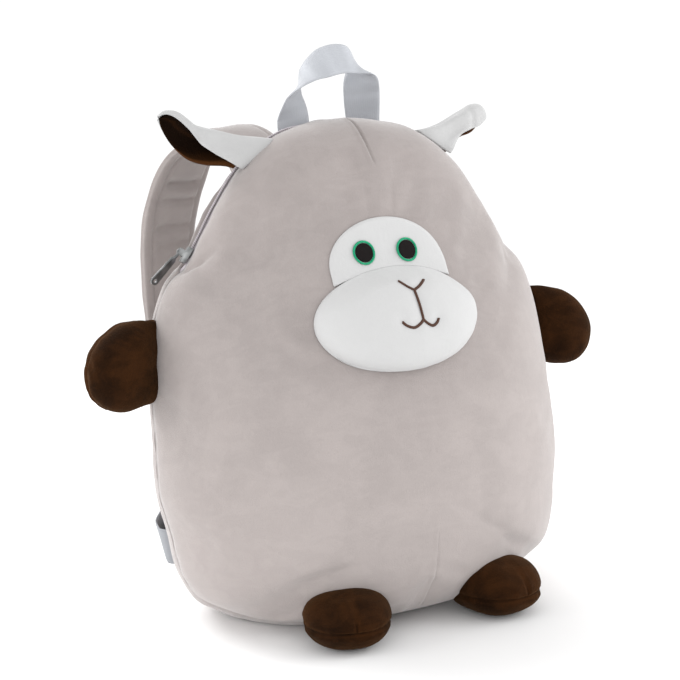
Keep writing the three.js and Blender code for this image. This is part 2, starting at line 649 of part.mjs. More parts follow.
function buildFace(trim) {
  const seat = () => SEAT_GAP;
  const reaches = [0.03, 0.1, 0.22, 0.4, 0.62, 0.82];
  const underside = (reach) => SEAT_GAP + SEAT_BOW * Math.sqrt(reach);
  const muzzle = (grow, bottom) =>
    layer(muzzleOutline(grow), muzzleMiddle, reaches, bottom, (reach) =>
      SEAT_GAP + FACE_THICKNESS + grow + muzzleRise(reach),
    );
  add("muzzle", toGeometry(toSolid(muzzle(0, underside)).subtract(trim)), FINISHES.white);

  const faceMiddle = { x: 0, z: FACE_CENTRE_HEIGHT };
  const faceOutline = aroundEllipse(FACE_WIDTH, FACE_HEIGHT, faceMiddle, 40);
  const patch = layer(faceOutline, faceMiddle, [0.1, 0.3, 0.55, 0.78], seat, () => SEAT_GAP + FACE_THICKNESS);
  const cut = toSolid(muzzle(SEAT_GAP, () => 0)).add(trim);
  add("face_patch", toGeometry(toSolid(patch).subtract(cut)), FINISHES.white);

  const stitchBottom = () => 2 * SEAT_GAP + FACE_THICKNESS;
  const stitchTop = () => 2 * SEAT_GAP + FACE_THICKNESS + STITCH_THICKNESS;
  for (const [side, sign] of [["left", -1], ["right", 1]]) {
    const middle = { x: EYES_SHIFT + (sign * EYE_SPACING) / 2, z: EYE_CENTRE_HEIGHT };
    const circle = (diameter) => aroundEllipse(diameter, diameter, middle, 18);
    const pupilDiameter = EYE_DIAMETER - 2 * EYE_RING;
    const at = (height) => ({ x, z }) => new THREE.Vector3(x, frontDepth(x, z) - height, z);
    const [low, high] = [stitchBottom(), stitchTop()];
    add(
      "eye_ring_" + side,
      ringSolid(
        [
          circle(EYE_DIAMETER).map(at(high)),
          circle(pupilDiameter + 2 * SEAM_GAP).map(at(high)),
          circle(pupilDiameter + 2 * SEAM_GAP).map(at(low)),
          circle(EYE_DIAMETER).map(at(low)),
        ],
        { loop: true },
      ),
      FINISHES.green,
    );
    add("pupil_" + side, layer(circle(pupilDiameter), middle, [0.5], stitchBottom, stitchTop), FINISHES.black);
  }

  // The nose and mouth are embroidered strokes, joined where they meet.
  const onMuzzle = (x, z) => {
    const height = 2.5 * SEAT_GAP + FACE_THICKNESS + STITCH_THICKNESS / 2;
    return new THREE.Vector3(x, frontDepth(x, z) - muzzleHeight(x, z) - height, z);
  };
  const line = (points) => {
    const path = new THREE.CatmullRomCurve3(points);
    const steps = Math.ceil(path.getLength() / 3.5);
    const stations = path.getSpacedPoints(steps).map((at, i) => {
      const right = onMuzzle(at.x + 1, at.z).sub(onMuzzle(at.x - 1, at.z));
      const up = onMuzzle(at.x, at.z + 1).sub(onMuzzle(at.x, at.z - 1));
      return { at, width: path.getTangentAt(i / steps).cross(right.cross(up)) };
    });
    return toSolid(ribbon(stations, LINE_WIDTH, STITCH_THICKNESS));
  };
  const noseHalf = NOSE_WIDTH / 2;
  const mouthHalf = MOUTH_WIDTH / 2;
  const overlap = LINE_WIDTH / 4;
  const strokes = [
    line([onMuzzle(0, NOSE_HEIGHT + overlap), onMuzzle(0, MOUTH_HEIGHT - overlap)]),
    ...[-1, 1].flatMap((sign) => [
      line([
        onMuzzle(-sign * overlap, NOSE_HEIGHT - overlap / 2),
        onMuzzle((sign * noseHalf) / 2, NOSE_HEIGHT + NOSE_RISE * 0.42),
        onMuzzle(sign * noseHalf, NOSE_HEIGHT + NOSE_RISE),
      ]),
      line([
        onMuzzle(-sign * overlap, MOUTH_HEIGHT + overlap),
        onMuzzle(sign * mouthHalf * 0.18, MOUTH_HEIGHT - MOUTH_SAG * 0.5),
        onMuzzle(sign * mouthHalf * 0.52, MOUTH_HEIGHT - MOUTH_SAG),
        onMuzzle(sign * mouthHalf * 0.85, MOUTH_HEIGHT - MOUTH_SAG * 0.6),
        onMuzzle(sign * mouthHalf, MOUTH_HEIGHT - 0.5),
      ]),
    ]),
  ];
  const mouth = strokes.reduce((whole, stroke) => whole.add(stroke)).subtract(toSolid(muzzle(SEAM_GAP, underside)));
  add("nose_and_mouth", toGeometry(mouth), FINISHES.brown);
}

// Points round a section with rounded corners: 2 is an ellipse, and more is boxier.
function sectionPoints(sides, squareness) {
  return Array.from({ length: sides }, (_, i) => {
    const angle = (2 * Math.PI * (i + 0.5)) / sides;
    const part = (value) => Math.sign(value) * Math.abs(value) ** (2 / squareness);
    return [part(Math.cos(angle)), part(Math.sin(angle))];
  });
}

// A band along stations that each hold a place and the direction of the band's width.
function ribbon(stations, width, thickness, sides = 4, squareness = sides === 4 ? 2 : 3.5) {
  const grow = sides === 4 ? Math.SQRT2 : 1;
  const section = sectionPoints(sides, squareness);
  const rings = stations.map(({ at, width: direction }, i) => {
    const before = stations[Math.max(0, i - 1)].at;
    const after = stations[Math.min(stations.length - 1, i + 1)].at;
    const along = after.clone().sub(before).normalize();
    const across = direction.clone().addScaledVector(along, -direction.dot(along)).normalize();
    const up = along.clone().cross(across);
    return section.map(([a, b]) =>
      at
        .clone()
        .addScaledVector(across, (a * grow * width) / 2)
        .addScaledVector(up, (b * grow * thickness) / 2),
    );
  });
  return ringSolid(rings);
}

// Even stations along a smooth curve through a route's rows.
function stationsOf(rows, count) {
  const path = new THREE.CatmullRomCurve3(rows.map(({ at }) => new THREE.Vector3(...at)));
  const widths = new THREE.CatmullRomCurve3(rows.map(({ width }) => new THREE.Vector3(...width)));
  return Array.from({ length: count + 1 }, (_, i) => {
    const share = i / count;
    const parameter = path.getUtoTmapping(share);
    return { at: path.getPoint(parameter), width: widths.getPoint(parameter) };
  });
}

const flipped = (rows) =>
  rows.map(({ at, width }) => ({ at: [-at[0], at[1], at[2]], width: [-width[0], width[1], width[2]] }));

function buildLimbs(trim) {
  const section = sectionPoints(LIMB_SIDES, 2.3);
  const armSeam = seamAt(seamShareAt(ARM_CENTRE_HEIGHT));
  for (const { side, sign, tilt } of [
    { side: "left", sign: -1, tilt: 1 },
    { side: "right", sign: 1, tilt: -9 },
  ]) {
    const angle = THREE.MathUtils.degToRad(tilt);
    const axis = new THREE.Vector3(sign * Math.cos(angle), 0, Math.sin(angle));
    const up = new THREE.Vector3(-sign * Math.sin(angle), 0, Math.cos(angle));
    const root = new THREE.Vector3(sign * (armSeam.at.x - 7), armSeam.at.y, ARM_CENTRE_HEIGHT);
    const rings = ARM.map(({ along, height, depth, drop }) =>
      section.map(([a, b]) => {
        const point = root.clone().addScaledVector(axis, along * ARM_LENGTH);
        point.addScaledVector(up, ((b * height) / 2 - drop) * ARM_HEIGHT);
        point.y += (a * depth * ARM_THICKNESS) / 2 - along * ARM_LEAD;
        return point;
      }),
    );
    add("arm_" + side, toGeometry(toSolid(ringSolid(rings)).subtract(trim)), FINISHES.brown);
  }

  const splay = THREE.MathUtils.degToRad(FOOT_SPLAY);
  for (const [side, sign] of [["left", -1], ["right", 1]]) {
    const axis = new THREE.Vector3(sign * Math.sin(splay), -Math.cos(splay), 0);
    const across = new THREE.Vector3(Math.cos(splay), sign * Math.sin(splay), 0);
    const root = new THREE.Vector3((sign * FOOT_SPACING) / 2, -FOOT_SETBACK, 0);
    const rings = FOOT.map(({ along, width, top, bottom }) =>
      section.map(([a, b]) => {
        const point = root.clone().addScaledVector(axis, along * FOOT_LENGTH);
        point.addScaledVector(across, (a * width * FOOT_WIDTH) / 2);
        point.z = Math.max(0, THREE.MathUtils.lerp(bottom, top, (b + 1) / 2) * FOOT_HEIGHT);
        return point;
      }),
    );
    add("foot_" + side, toGeometry(toSolid(ringSolid(rings)).subtract(trim)), FINISHES.brown);
  }
}

function buildEars(trim) {
  const steps = 6;
  const root = seamAt(seamShareAt(EAR_CENTRE_HEIGHT)).at;
  const axis = EAR_AXIS.clone().normalize();
  const up = EAR_UP.clone().addScaledVector(axis, -EAR_UP.dot(axis)).normalize();
  const back = axis.clone().cross(up).negate();
  if (back.y < 0) back.negate();
  const place = ([along, rise, behind]) =>
    root
      .clone()
      .addScaledVector(axis, along * EAR_LENGTH)
      .addScaledVector(up, rise * EAR_WIDTH)
      .addScaledVector(back, behind * EAR_FOLD);

  // The leaf's middle surface: each row rises from the front edge, rounds the ridge and falls to the back edge.
  const curves = ["front", "ridge", "back"].map(
    (name) => new THREE.CatmullRomCurve3(EAR.map((row) => place(row[name]))),
  );
  const rows = 11;
  const leaf = Array.from({ length: rows + 1 }, (_, i) => {
    const [front, ridge, behind] = curves.map((curve) => curve.getPoint(i / rows));
    const middle = front.clone().lerp(behind, 0.5);
    const half = behind.clone().sub(middle);
    const rise = ridge.clone().sub(middle);
    const straight = Math.max(0, 1 - half.length() / rise.length());
    return Array.from({ length: steps + 1 }, (_, j) => {
      const share = Math.abs((2 * j) / steps - 1);
      const angle = Math.min(1, 2 * share) * (Math.PI / 2);
      const height = share < 0.5 ? straight + (1 - straight) * Math.cos(angle) : straight * 2 * (1 - share);
      return middle
        .clone()
        .addScaledVector(half, Math.sign(2 * j - steps) * Math.sin(angle))
        .addScaledVector(rise, height);
    });
  });
  const normalAt = (i, j) => {
    const alongRow = leaf[i][Math.min(steps, j + 1)].clone().sub(leaf[i][Math.max(0, j - 1)]);
    const alongLeaf = leaf[Math.min(rows, i + 1)][j].clone().sub(leaf[Math.max(0, i - 1)][j]);
    return alongRow.cross(alongLeaf).normalize();
  };
  const outward = normalAt(3, steps / 2).dot(up) > 0 ? 1 : -1;
  const offset = (i, j, distance) => leaf[i][j].clone().addScaledVector(normalAt(i, j), outward * distance);
  const shell = (inner, outer, first, last, margin) =>
    leaf.slice(first, last + 1).map((row, index) => {
      const i = index + first;
      const inside = row.map((_, j) => offset(i, j, inner));
      const outside = row.map((_, j) => offset(i, j, outer));
      const cut = (line) => [
        line[0].clone().lerp(line[1], margin),
        ...line.slice(1, -1),
        line[steps].clone().lerp(line[steps - 1], margin),
      ];
      return [...cut(outside), ...cut(inside).reverse()];
    });
  const cloth = shell(0, EAR_CLOTH, 0, rows, 0);
  const lining = shell(-SEAT_GAP, -SEAT_GAP - EAR_LINING, 1, rows - 2, 0.3);
  for (const [side, sign] of [["left", -1], ["right", 1]]) {
    const turned = (rings) => rings.map((ring) => ring.map(({ x, y, z }) => new THREE.Vector3(sign * x, y, z)));
    add("ear_" + side, toGeometry(toSolid(ringSolid(turned(cloth))).subtract(trim)), FINISHES.white);
    add("ear_lining_" + side, toGeometry(toSolid(ringSolid(turned(lining))).subtract(trim)), FINISHES.brown);
  }
}

function buildCarrying(trim) {
  const crown = BODY_HEIGHT - 3;
  const loop = HANDLE.map(({ across, rise, lean, width }) => ({
    at: [(across * HANDLE_SPACING) / 2, HANDLE_SETBACK - lean * HANDLE_RISE, crown + rise * HANDLE_RISE],
    width,
  }));
  const handle = ribbon(stationsOf(loop, 28), WEBBING_WIDTH, WEBBING_THICKNESS);
  add("handle", toGeometry(toSolid(handle).subtract(trim)), FINISHES.webbing);

  for (const [side, turn] of [["left", (rows) => rows], ["right", flipped]]) {
    const strap = stationsOf(turn(STRAP_ROUTE), 18);
    const pad = ribbon(strap, STRAP_WIDTH, STRAP_THICKNESS, 10);
    add("strap_" + side, toGeometry(toSolid(pad).subtract(trim)), FINISHES.velour);

    // The adjuster continues the pad's end, and the webbing starts from the adjuster.
    const end = strap.at(-1);
    const down = end.at.clone().sub(strap.at(-2).at).normalize();
    const along = (distance) => ({ at: end.at.clone().addScaledVector(down, distance), width: end.width });
    const adjuster = ribbon(
      [along(SEAT_GAP), along(SEAT_GAP + ADJUSTER_LENGTH)],
      ADJUSTER_WIDTH,
      ADJUSTER_THICKNESS,
    );
    add("adjuster_" + side, adjuster, FINISHES.plastic);
    const start = ADJUSTER_LENGTH + 3 * SEAT_GAP;
    const lead = along(start + 4);
    const route = [{ at: lead.at.toArray(), width: lead.width.toArray() }, ...turn(WEBBING_ROUTE)];
    const webbing = ribbon([along(start), ...stationsOf(route, 16)], WEBBING_WIDTH, WEBBING_THICKNESS);
    add("webbing_" + side, toGeometry(toSolid(webbing).subtract(trim)), FINISHES.webbing);
  }
}

const trim = filledBag(SEAT_GAP);
buildBody();
buildZip();
buildFace(trim);
buildLimbs(trim);
buildEars(trim.add(filledSlot(SEAT_GAP)));
buildCarrying(trim);

export default bag;
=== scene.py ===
"""A plush backpack for a child, shaped as a standing animal, dressed over its CAD frame."""
import math

import bmesh
import bpy
import numpy as np
from bpy.props import FloatProperty, FloatVectorProperty, IntProperty, PointerProperty
from mathutils import Matrix, Vector, noise


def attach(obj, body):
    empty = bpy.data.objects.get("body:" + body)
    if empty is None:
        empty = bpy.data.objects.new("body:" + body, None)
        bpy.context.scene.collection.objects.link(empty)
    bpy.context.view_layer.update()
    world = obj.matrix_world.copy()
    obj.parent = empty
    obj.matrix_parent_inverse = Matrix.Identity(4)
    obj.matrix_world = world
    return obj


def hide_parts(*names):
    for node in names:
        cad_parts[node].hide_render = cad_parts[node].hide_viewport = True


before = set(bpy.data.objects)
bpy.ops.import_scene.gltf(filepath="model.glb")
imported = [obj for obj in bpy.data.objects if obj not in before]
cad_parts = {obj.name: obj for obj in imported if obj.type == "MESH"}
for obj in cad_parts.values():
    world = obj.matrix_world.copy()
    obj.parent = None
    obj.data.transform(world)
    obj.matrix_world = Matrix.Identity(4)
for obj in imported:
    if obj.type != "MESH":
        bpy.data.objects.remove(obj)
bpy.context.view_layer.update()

bl_info = {
    "name": "Animal Backpack",
    "version": (1, 0, 0),
    "blender": (4, 5, 0),
    "location": "View3D > Sidebar > Backpack",
    "description": "Dresses a child's plush backpack over its solids",
    "category": "Object",
}

# The solids' own sizes, in metres.
HEIGHT = 0.330
WIDTH = 0.299
BELLY_DEPTH = 0.099
BACK_DEPTH = 0.060
BACK_PUFF = 0.005
FRONT_PADDING = 0.010
BACK_PADDING = 0.008
FABRIC_WALL = 0.003
SIDE_PUFF = 0.003
BASE_SAG = 0.012
SEAM_GAP = 0.0003
SEAT_GAP = 0.0004
ZIP_END_HEIGHT = 0.240
ZIP_SLOT = 0.011
TAPE_RECESS = 0.001
TAPE_THICKNESS = 0.0012
FACE_THICKNESS = 0.0016
BELLY_CENTRE = 0.287
DOME_ROUNDNESS = 2.1
BACK_ACROSS = 0.86
BACK_UP = 0.955
BACK_CENTRE = 0.48
BACK_FLAT_REACH = 0.42
BODY_MIDDLE = np.array([0, 0, 0.15])

# Half of the front seam from the top to the bottom: across, height and forward, as shares.
SEAM = [
    (0, 1, -0.02),
    (0.174, 0.993, -0.02),
    (0.326, 0.976, -0.02),
    (0.51, 0.916, -0.02),
    (0.638, 0.84, -0.02),
    (0.715, 0.783, -0.02),
    (0.785, 0.733, -0.03),
    (0.878, 0.692, -0.04),
    (0.936, 0.63, -0.06),
    (0.975, 0.53, -0.06),
    (0.985, 0.4, -0.02),
    (0.991, 0.28, 0.045),
    (0.96, 0.2, 0.08),
    (0.922, 0.121, 0.08),
    (0.862, 0.074, 0.08),
    (0.765, 0.048, 0.12),
    (0.655, 0.033, 0.27),
    (0.498, 0.025, 0.5),
    (0.24, 0.024, 0.665),
    (0, 0.024, 0.7),
]
BELLY = [
    (0, 0.98),
    (0.12, 1.01),
    (0.26, 1),
    (0.45, 0.94),
    (0.6, 0.79),
    (0.675, 0.72),
    (0.735, 0.665),
    (0.82, 0.69),
    (0.9, 0.8),
    (1, 0.86),
]
BACK = [(0, 0.9), (0.25, 1), (0.5, 0.97), (0.75, 0.84), (0.9, 0.68), (1, 0.56)]


# Curves and tables


def smooth_path(points, closed=False, per_span=60):
    """Dense points on a centripetal Catmull-Rom curve."""
    knots = np.asarray(points, float)
    if closed:
        knots = np.vstack([knots[-1], knots, knots[0], knots[1]])
    else:
        knots = np.vstack([2 * knots[0] - knots[1], knots, 2 * knots[-1] - knots[-2]])
    steps = np.linspace(0, 1, per_span, endpoint=False)[:, None]
    spans = []
    for i in range(len(knots) - 3):
        x0, x1, x2, x3 = knots[i : i + 4]
        d0, d1, d2 = (max(np.linalg.norm(b - a), 1e-12) ** 0.5 for a, b in ((x0, x1), (x1, x2), (x2, x3)))
        t1 = ((x1 - x0) / d0 - (x2 - x0) / (d0 + d1) + (x2 - x1) / d1) * d1
        t2 = ((x2 - x1) / d1 - (x3 - x1) / (d1 + d2) + (x3 - x2) / d2) * d1
        spans.append(
            x1 + t1 * steps + (3 * (x2 - x1) - 2 * t1 - t2) * steps**2 + (2 * (x1 - x2) + t1 + t2) * steps**3
        )
    if not closed:
        spans.append(knots[-2:-1])
    return np.vstack(spans)


def lengths_along(path):
    """Distance from the path's start to each of its points."""
    return np.concatenate([[0], np.cumsum(np.linalg.norm(np.diff(path, axis=0), axis=1))])


def sampled(path, at, wanted):
    """A path's columns at wanted distances, where at is the distance of each of its points."""
    return np.stack([np.interp(wanted, at, column) for column in path.T], axis=-1)


def spread(path, count):
    """Points spread evenly along a path, from its first to its last."""
    at = lengths_along(path)
    return sampled(path, at, np.linspace(0, at[-1], count))


def flat_line(line, count):
    """Even points on a smooth curve through pairs of x and z."""
    return spread(smooth_path([(x, 0, z) for x, z in line]), count)


def unit(vectors):
    return vectors / np.maximum(np.linalg.norm(vectors, axis=-1, keepdims=True), 1e-12)


def sampler(rows):
    """A smooth function through a table's pairs, the same as the solids use."""
    xs = np.array([row[0] for row in rows], float)
    ys = np.array([row[1] for row in rows], float)

    def sample(value):
        value = np.clip(value, xs[0], xs[-1])
        i = np.clip(np.searchsorted(xs, value, side="right"), 1, len(xs) - 1)
        t0, t1 = xs[i - 1], xs[i]
        v0, v1 = ys[i - 1], ys[i]
        before = np.where(i > 1, xs[np.maximum(i - 2, 0)], 2 * t0 - t1)
        value_before = np.where(i > 1, ys[np.maximum(i - 2, 0)], v1)
        last = i >= len(xs) - 1
        after = np.where(last, 2 * t1 - t0, xs[np.minimum(i + 1, len(xs) - 1)])
        value_after = np.where(last, v0, ys[np.minimum(i + 1, len(xs) - 1)])
        half = (t1 - t0) / 2
        wp = half / (t0 - before)
        wn = half / (after - t1)
        p = (value - t0) / (t1 - t0)
        return (
            (-wp * p**3 + 2 * wp * p**2 - wp * p) * value_before
            + ((1 + wp) * p**3 + (-1.5 - 2 * wp) * p**2 + (-0.5 + wp) * p + 1) * v0
            + ((-1 - wn) * p**3 + (1.5 + wn) * p**2 + 0.5 * p) * v1
            + (wn * p**3 - wn * p**2) * value_after
        )

    return sample


belly_depth = sampler(BELLY)
back_depth = sampler(BACK)


def ramp(value, low, high):
    """0 below low, 1 above high, smooth between."""
    share = np.clip((value - low) / (high - low), 0, 1)
    return share * share * (3 - 2 * share)


def hump(distance, width):
    """1 at a line and falling off within a width of it."""
    return np.exp(-((distance / width) ** 2))


def lumps(points, size, seed):
    """Smooth noise from -1 to 1 whose lumps are about a size across."""
    flat = points.reshape(-1, 3) / size + np.array([seed * 7.31, seed * 3.17, seed * 5.53])
    values = np.array([noise.noise(Vector(p)) for p in flat])
    return values.reshape(points.shape[:-1]) * 1.6


# The body's surfaces


def seam_samples():
    half = np.array([(a * WIDTH / 2, -f * BELLY_DEPTH, h * HEIGHT) for a, h, f in SEAM])
    other = half[1:-1][::-1] * (-1, 1, 1)
    path = smooth_path(np.vstack([half, other]), closed=True)
    x, z = path[:, 0], path[:, 2]
    hang = 0.0015 * hump(z - 0.252, 0.02) - 0.0038 * (1 - ramp(z, 0.165, 0.215)) * ramp(z, 0.012, 0.05)
    path[:, 0] += hang * ramp(x, 0.05, 0.1)
    return np.vstack([path, path[:1]])


seam_path = seam_samples()
seam_at_length = lengths_along(seam_path)
seam_length = seam_at_length[-1]


class Seam:
    """Places on the front seam at shares of its length, with what the panels need there."""

    def __init__(self, shares):
        self.u = np.asarray(shares, float) % 1
        wanted = self.u * seam_length

        def at(lengths):
            return sampled(seam_path, seam_at_length, lengths % seam_length)

        self.at = at(wanted)
        along = at(wanted + 0.0008) - at(wanted - 0.0008)
        self.out = unit(np.stack([-along[:, 2], np.zeros(len(along)), along[:, 0]], axis=-1))
        across, _, height = self.at.T
        depth = BACK_DEPTH * back_depth(height / HEIGHT)
        self.rim = np.stack([across * BACK_ACROSS, depth, height * BACK_UP], axis=-1)
        self.depth = np.linalg.norm(self.rim - self.at, axis=-1)


def share_at_height(height):
    """Where the right half of the seam passes a height, on its upper side."""
    upper = seam_at_length < 0.42 * seam_length
    heights = seam_path[upper, 2]
    first = np.argmax(heights < height)
    share = (heights[first - 1] - height) / (heights[first - 1] - heights[first])
    before, after = seam_at_length[first - 1], seam_at_length[first]
    return (before + share * (after - before)) / seam_length


zip_end = share_at_height(ZIP_END_HEIGHT)
belly_centre = np.array([0, 0, BELLY_CENTRE * HEIGHT])
back_centre = np.array([0, 0, BACK_CENTRE * HEIGHT])


def roundness(reach):
    return (1 - (1 - reach) ** DOME_ROUNDNESS) ** (1 / DOME_ROUNDNESS)


def front_points(seam, reaches, edge=0.0, padding=0.0):
    """Rings of the front: reach 0 is on the seam, and 1 in the middle of the belly."""
    start = seam.at - edge * seam.out
    reach = np.asarray(reaches, float)[:, None, None]
    points = start[None] * (1 - reach) + belly_centre * reach
    rise = roundness(reach[..., 0])
    depth = BELLY_DEPTH * belly_depth(points[..., 2] / HEIGHT) - padding
    points[..., 1] = start[None, :, 1] * (1 - rise) - depth * rise
    return points


def bulge(seam, share):
    """How far the side fabric stands out between its seams, most of all under the bag."""
    sag = SIDE_PUFF + (BASE_SAG - SIDE_PUFF) * np.maximum(0, -seam.out[:, 2]) ** 4
    return sag[:, None] * (1 - np.abs(2 * share - 1) ** 3)


def side_points(seam, shares, inset=0.0):
    """Rings of the side fabric, from the front seam to the back panel's rim, with a share for each point."""
    share = shares[..., None]
    points = seam.at * (1 - share) + seam.rim * share + seam.out * (bulge(seam, share) - inset)
    points[..., 2] = np.maximum(points[..., 2], inset)
    return points


def back_points(seam, reaches, edge=0.0, inset=0.0):
    """Rings of the back panel: reach 0 is on its rim."""
    start = seam.rim - edge * seam.out
    reach = np.asarray(reaches, float)[:, None, None]
    points = start[None] * (1 - reach) + back_centre * reach
    steepness = 1 - np.minimum(1, reach[..., 0] / BACK_FLAT_REACH)
    share = 1 - steepness**2.2
    points[..., 1] = start[None, :, 1] * (1 - share) + (BACK_DEPTH + BACK_PUFF) * share - inset
    return points


def bearing(x, z):
    """The angle and the distance of places on the front from the middle of the belly."""
    dx = x - belly_centre[0]
    dz = z - belly_centre[2]
    return np.arctan2(dx, dz) % (2 * np.pi), np.hypot(dx, dz)


turned = Seam(np.arange(2400) / 2400).at
turn_angle, turn_reach = bearing(turned[:, 0], turned[:, 2])


def front_depth(x, z):
    """How far forward the front's surface is, as a y, at x and z."""
    angle, away = bearing(x, z)
    full = np.interp(angle, turn_angle, turn_reach, period=2 * np.pi)
    start = np.interp(angle, turn_angle, turned[:, 1], period=2 * np.pi)
    rise = roundness(np.maximum(0, 1 - away / full))
    return start * (1 - rise) - BELLY_DEPTH * belly_depth(z / HEIGHT) * rise


def zip_points(shares, behind, above):
    """Points on the zip's line at shares of the seam, behind the front seam and above the tape."""
    seam = Seam(shares)
    share = (behind / seam.depth)[:, None]
    lift = bulge(seam, share) - TAPE_RECESS + np.reshape(above, (-1, 1))
    return seam.at * (1 - share) + seam.rim * share + seam.out * lift


# Meshes


def new_object(name, data):
    piece = bpy.data.objects.new(name, data)
    bpy.context.scene.collection.objects.link(piece)
    return piece


def ring_faces(count, size, loop=False):
    """Faces between rings of points that close round. In a loop the last ring joins the first."""
    around = np.arange(size)
    after = (around + 1) % size
    faces = []
    for i in range(count if loop else count - 1):
        here = i * size
        there = (i + 1) % count * size
        faces += list(zip(here + around, here + after, there + after, there + around))
    return faces


def fan_faces(start, size, tip):
    """Faces between the ring that starts at a point and a tip."""
    return [(start + i, start + (i + 1) % size, tip) for i in range(size)]


def mesh_of(name, points, faces, inwards):
    """A mesh with its faces pointing outwards. inwards says that they point in as they are given."""
    order = -1 if inwards else 1
    mesh = bpy.data.meshes.new(name)
    mesh.from_pydata([tuple(p) for p in points], [], [tuple(int(i) for i in face)[::order] for face in faces])
    mesh.polygons.foreach_set("use_smooth", [True] * len(mesh.polygons))
    mesh.update()
    return mesh


def skin(name, rings, loop=False, uv=None, tone=None):
    """A closed skin over rings of points. Its ends close to a point each, or the last ring joins the first.

    tone is painted highlight and shade: how much lighter or darker the cloth is at each point.
    """
    rings = np.asarray(rings, float)
    count, size = rings.shape[:2]
    points = rings.reshape(-1, 3)
    uvs = None if uv is None else np.asarray(uv, float).reshape(-1, 2)
    faces = ring_faces(count, size, loop)
    if not loop:
        end = (count - 1) * size
        points = np.vstack([points, rings[0].mean(0), rings[-1].mean(0)])
        faces += [(b, a, tip) for a, b, tip in fan_faces(0, size, count * size)]
        faces += fan_faces(end, size, count * size + 1)
        if uvs is not None:
            uvs = np.vstack([uvs, uvs[:size].mean(0), uvs[end:].mean(0)])
    triangles = [(face[0], b, c) for face in faces for b, c in zip(face[1:-1], face[2:])]
    a, b, c = points[np.array(triangles).T]
    mesh = mesh_of(name, points, faces, np.sum(a * np.cross(b, c)) < 0)
    if uvs is not None:
        corners = np.zeros(len(mesh.loops), np.int32)
        mesh.loops.foreach_get("vertex_index", corners)
        layer = mesh.uv_layers.new(name="UVMap")
        layer.data.foreach_set("uv", uvs[corners].astype(np.float32).ravel())
    if tone is not None:
        values = np.zeros(len(points), np.float32)
        values[: count * size] = np.broadcast_to(tone, (count, size)).ravel()
        mesh.attributes.new("tone", "FLOAT", "POINT").data.foreach_set("value", values)
    return new_object(name, mesh)


def grid_normals(grid, centre):
    """Unit normals of rings of points that close round, pointing away from a centre."""
    around = np.roll(grid, -1, axis=1) - np.roll(grid, 1, axis=1)
    normal = unit(np.cross(around, np.gradient(grid, axis=0)))
    away = np.sum(normal * (grid - centre), axis=-1, keepdims=True)
    return np.where(away < 0, -normal, normal)


def distance_to_line(points, line):
    """Distance of points from a line, how far along it they are, and on which side in x."""
    best = np.full(points.shape[:-1], 1e9)
    where = np.zeros(points.shape[:-1])
    side = np.zeros(points.shape[:-1])
    total = lengths_along(line)
    for a, b, start in zip(line[:-1], line[1:], total[:-1]):
        edge = b - a
        size = np.dot(edge, edge)
        share = np.clip(np.sum((points - a) * edge, axis=-1) / size, 0, 1)
        away = points - (a + share[..., None] * edge)
        gap = np.linalg.norm(away, axis=-1)
        nearer = gap < best
        best = np.where(nearer, gap, best)
        where = np.where(nearer, (start + share * math.sqrt(size)) / total[-1], where)
        side = np.where(nearer, np.sign(away[..., 0]), side)
    return best, where, side


def blurred(field, passes):
    """A field over rings, averaged with its neighbours. It closes round along each ring."""
    for _ in range(passes):
        field = (2 * field + np.roll(field, 1, axis=1) + np.roll(field, -1, axis=1)) / 4
        padded = np.concatenate([field[:1], field, field[-1:]])
        field = (2 * field + padded[:-2] + padded[2:]) / 4
    return field


def resampled(field, rows, columns, new_rows, new_columns):
    """A field over rings at other rows and columns. The columns are shares of a closed ring."""
    wide = np.concatenate([columns - 1, columns, columns + 1])
    tripled = np.concatenate([field] * 3, axis=1)
    across = np.array([np.interp(new_columns, wide, row) for row in tripled])
    return np.array([np.interp(new_rows, rows, column) for column in across.T]).T


CLOTH = {
    "quality": 6,
    "mass": 0.3,
    "tension_stiffness": 15,
    "compression_stiffness": 15,
    "shear_stiffness": 5,
    "use_pressure": True,
    "vertex_group_mass": "held",
}
CLOTH_FRAMES = 20


def settled(rings, held, centre, pressure, slack, bending):
    """How far out a cloth simulation moves the points of a skin of rings. Held points stay where they are."""
    rows, size = rings.shape[:2]
    out = grid_normals(rings, centre)
    points = np.vstack([rings.reshape(-1, 3), rings[-1].mean(0)])
    faces = ring_faces(rows, size) + fan_faces((rows - 1) * size, size, rows * size)
    a, b, c, _ = points[list(faces[size * (rows // 2)])]
    mesh = mesh_of("cloth", points, faces, np.dot(np.cross(b - a, c - a), out[rows // 2, 0]) < 0)
    cloth = new_object("cloth", mesh)
    group = cloth.vertex_groups.new(name="held")
    for index, weight in enumerate(np.asarray(held).ravel()):
        if weight > 0.01:
            group.add([index], float(weight), "REPLACE")
    settings = cloth.modifiers.new("Cloth", "CLOTH").settings
    for key, value in CLOTH.items():
        setattr(settings, key, value)
    settings.bending_stiffness = bending
    settings.uniform_pressure_force = pressure
    settings.shrink_min = -slack
    settings.shrink_max = -slack
    settings.effector_weights.gravity = 0
    scene = bpy.context.scene
    for frame_number in range(1, CLOTH_FRAMES + 1):
        scene.frame_set(frame_number)
    moved = np.zeros(len(points) * 3)
    cloth.evaluated_get(bpy.context.evaluated_depsgraph_get()).data.vertices.foreach_get("co", moved)
    scene.frame_set(1)
    cloth.modifiers.clear()
    bpy.data.objects.remove(cloth)
    bpy.data.meshes.remove(mesh)
    offset = (moved.reshape(-1, 3) - points)[:-1].reshape(rings.shape)
    return np.sum(offset * out, axis=-1)


def wrinkles(moved, broad_passes, cap, broad):
    """The folds of a settled cloth: its broad swelling is mostly taken off, and the rest is capped."""
    swelling = blurred(moved, broad_passes)
    folds = moved - swelling + broad * swelling
    return cap * np.tanh(folds / cap)


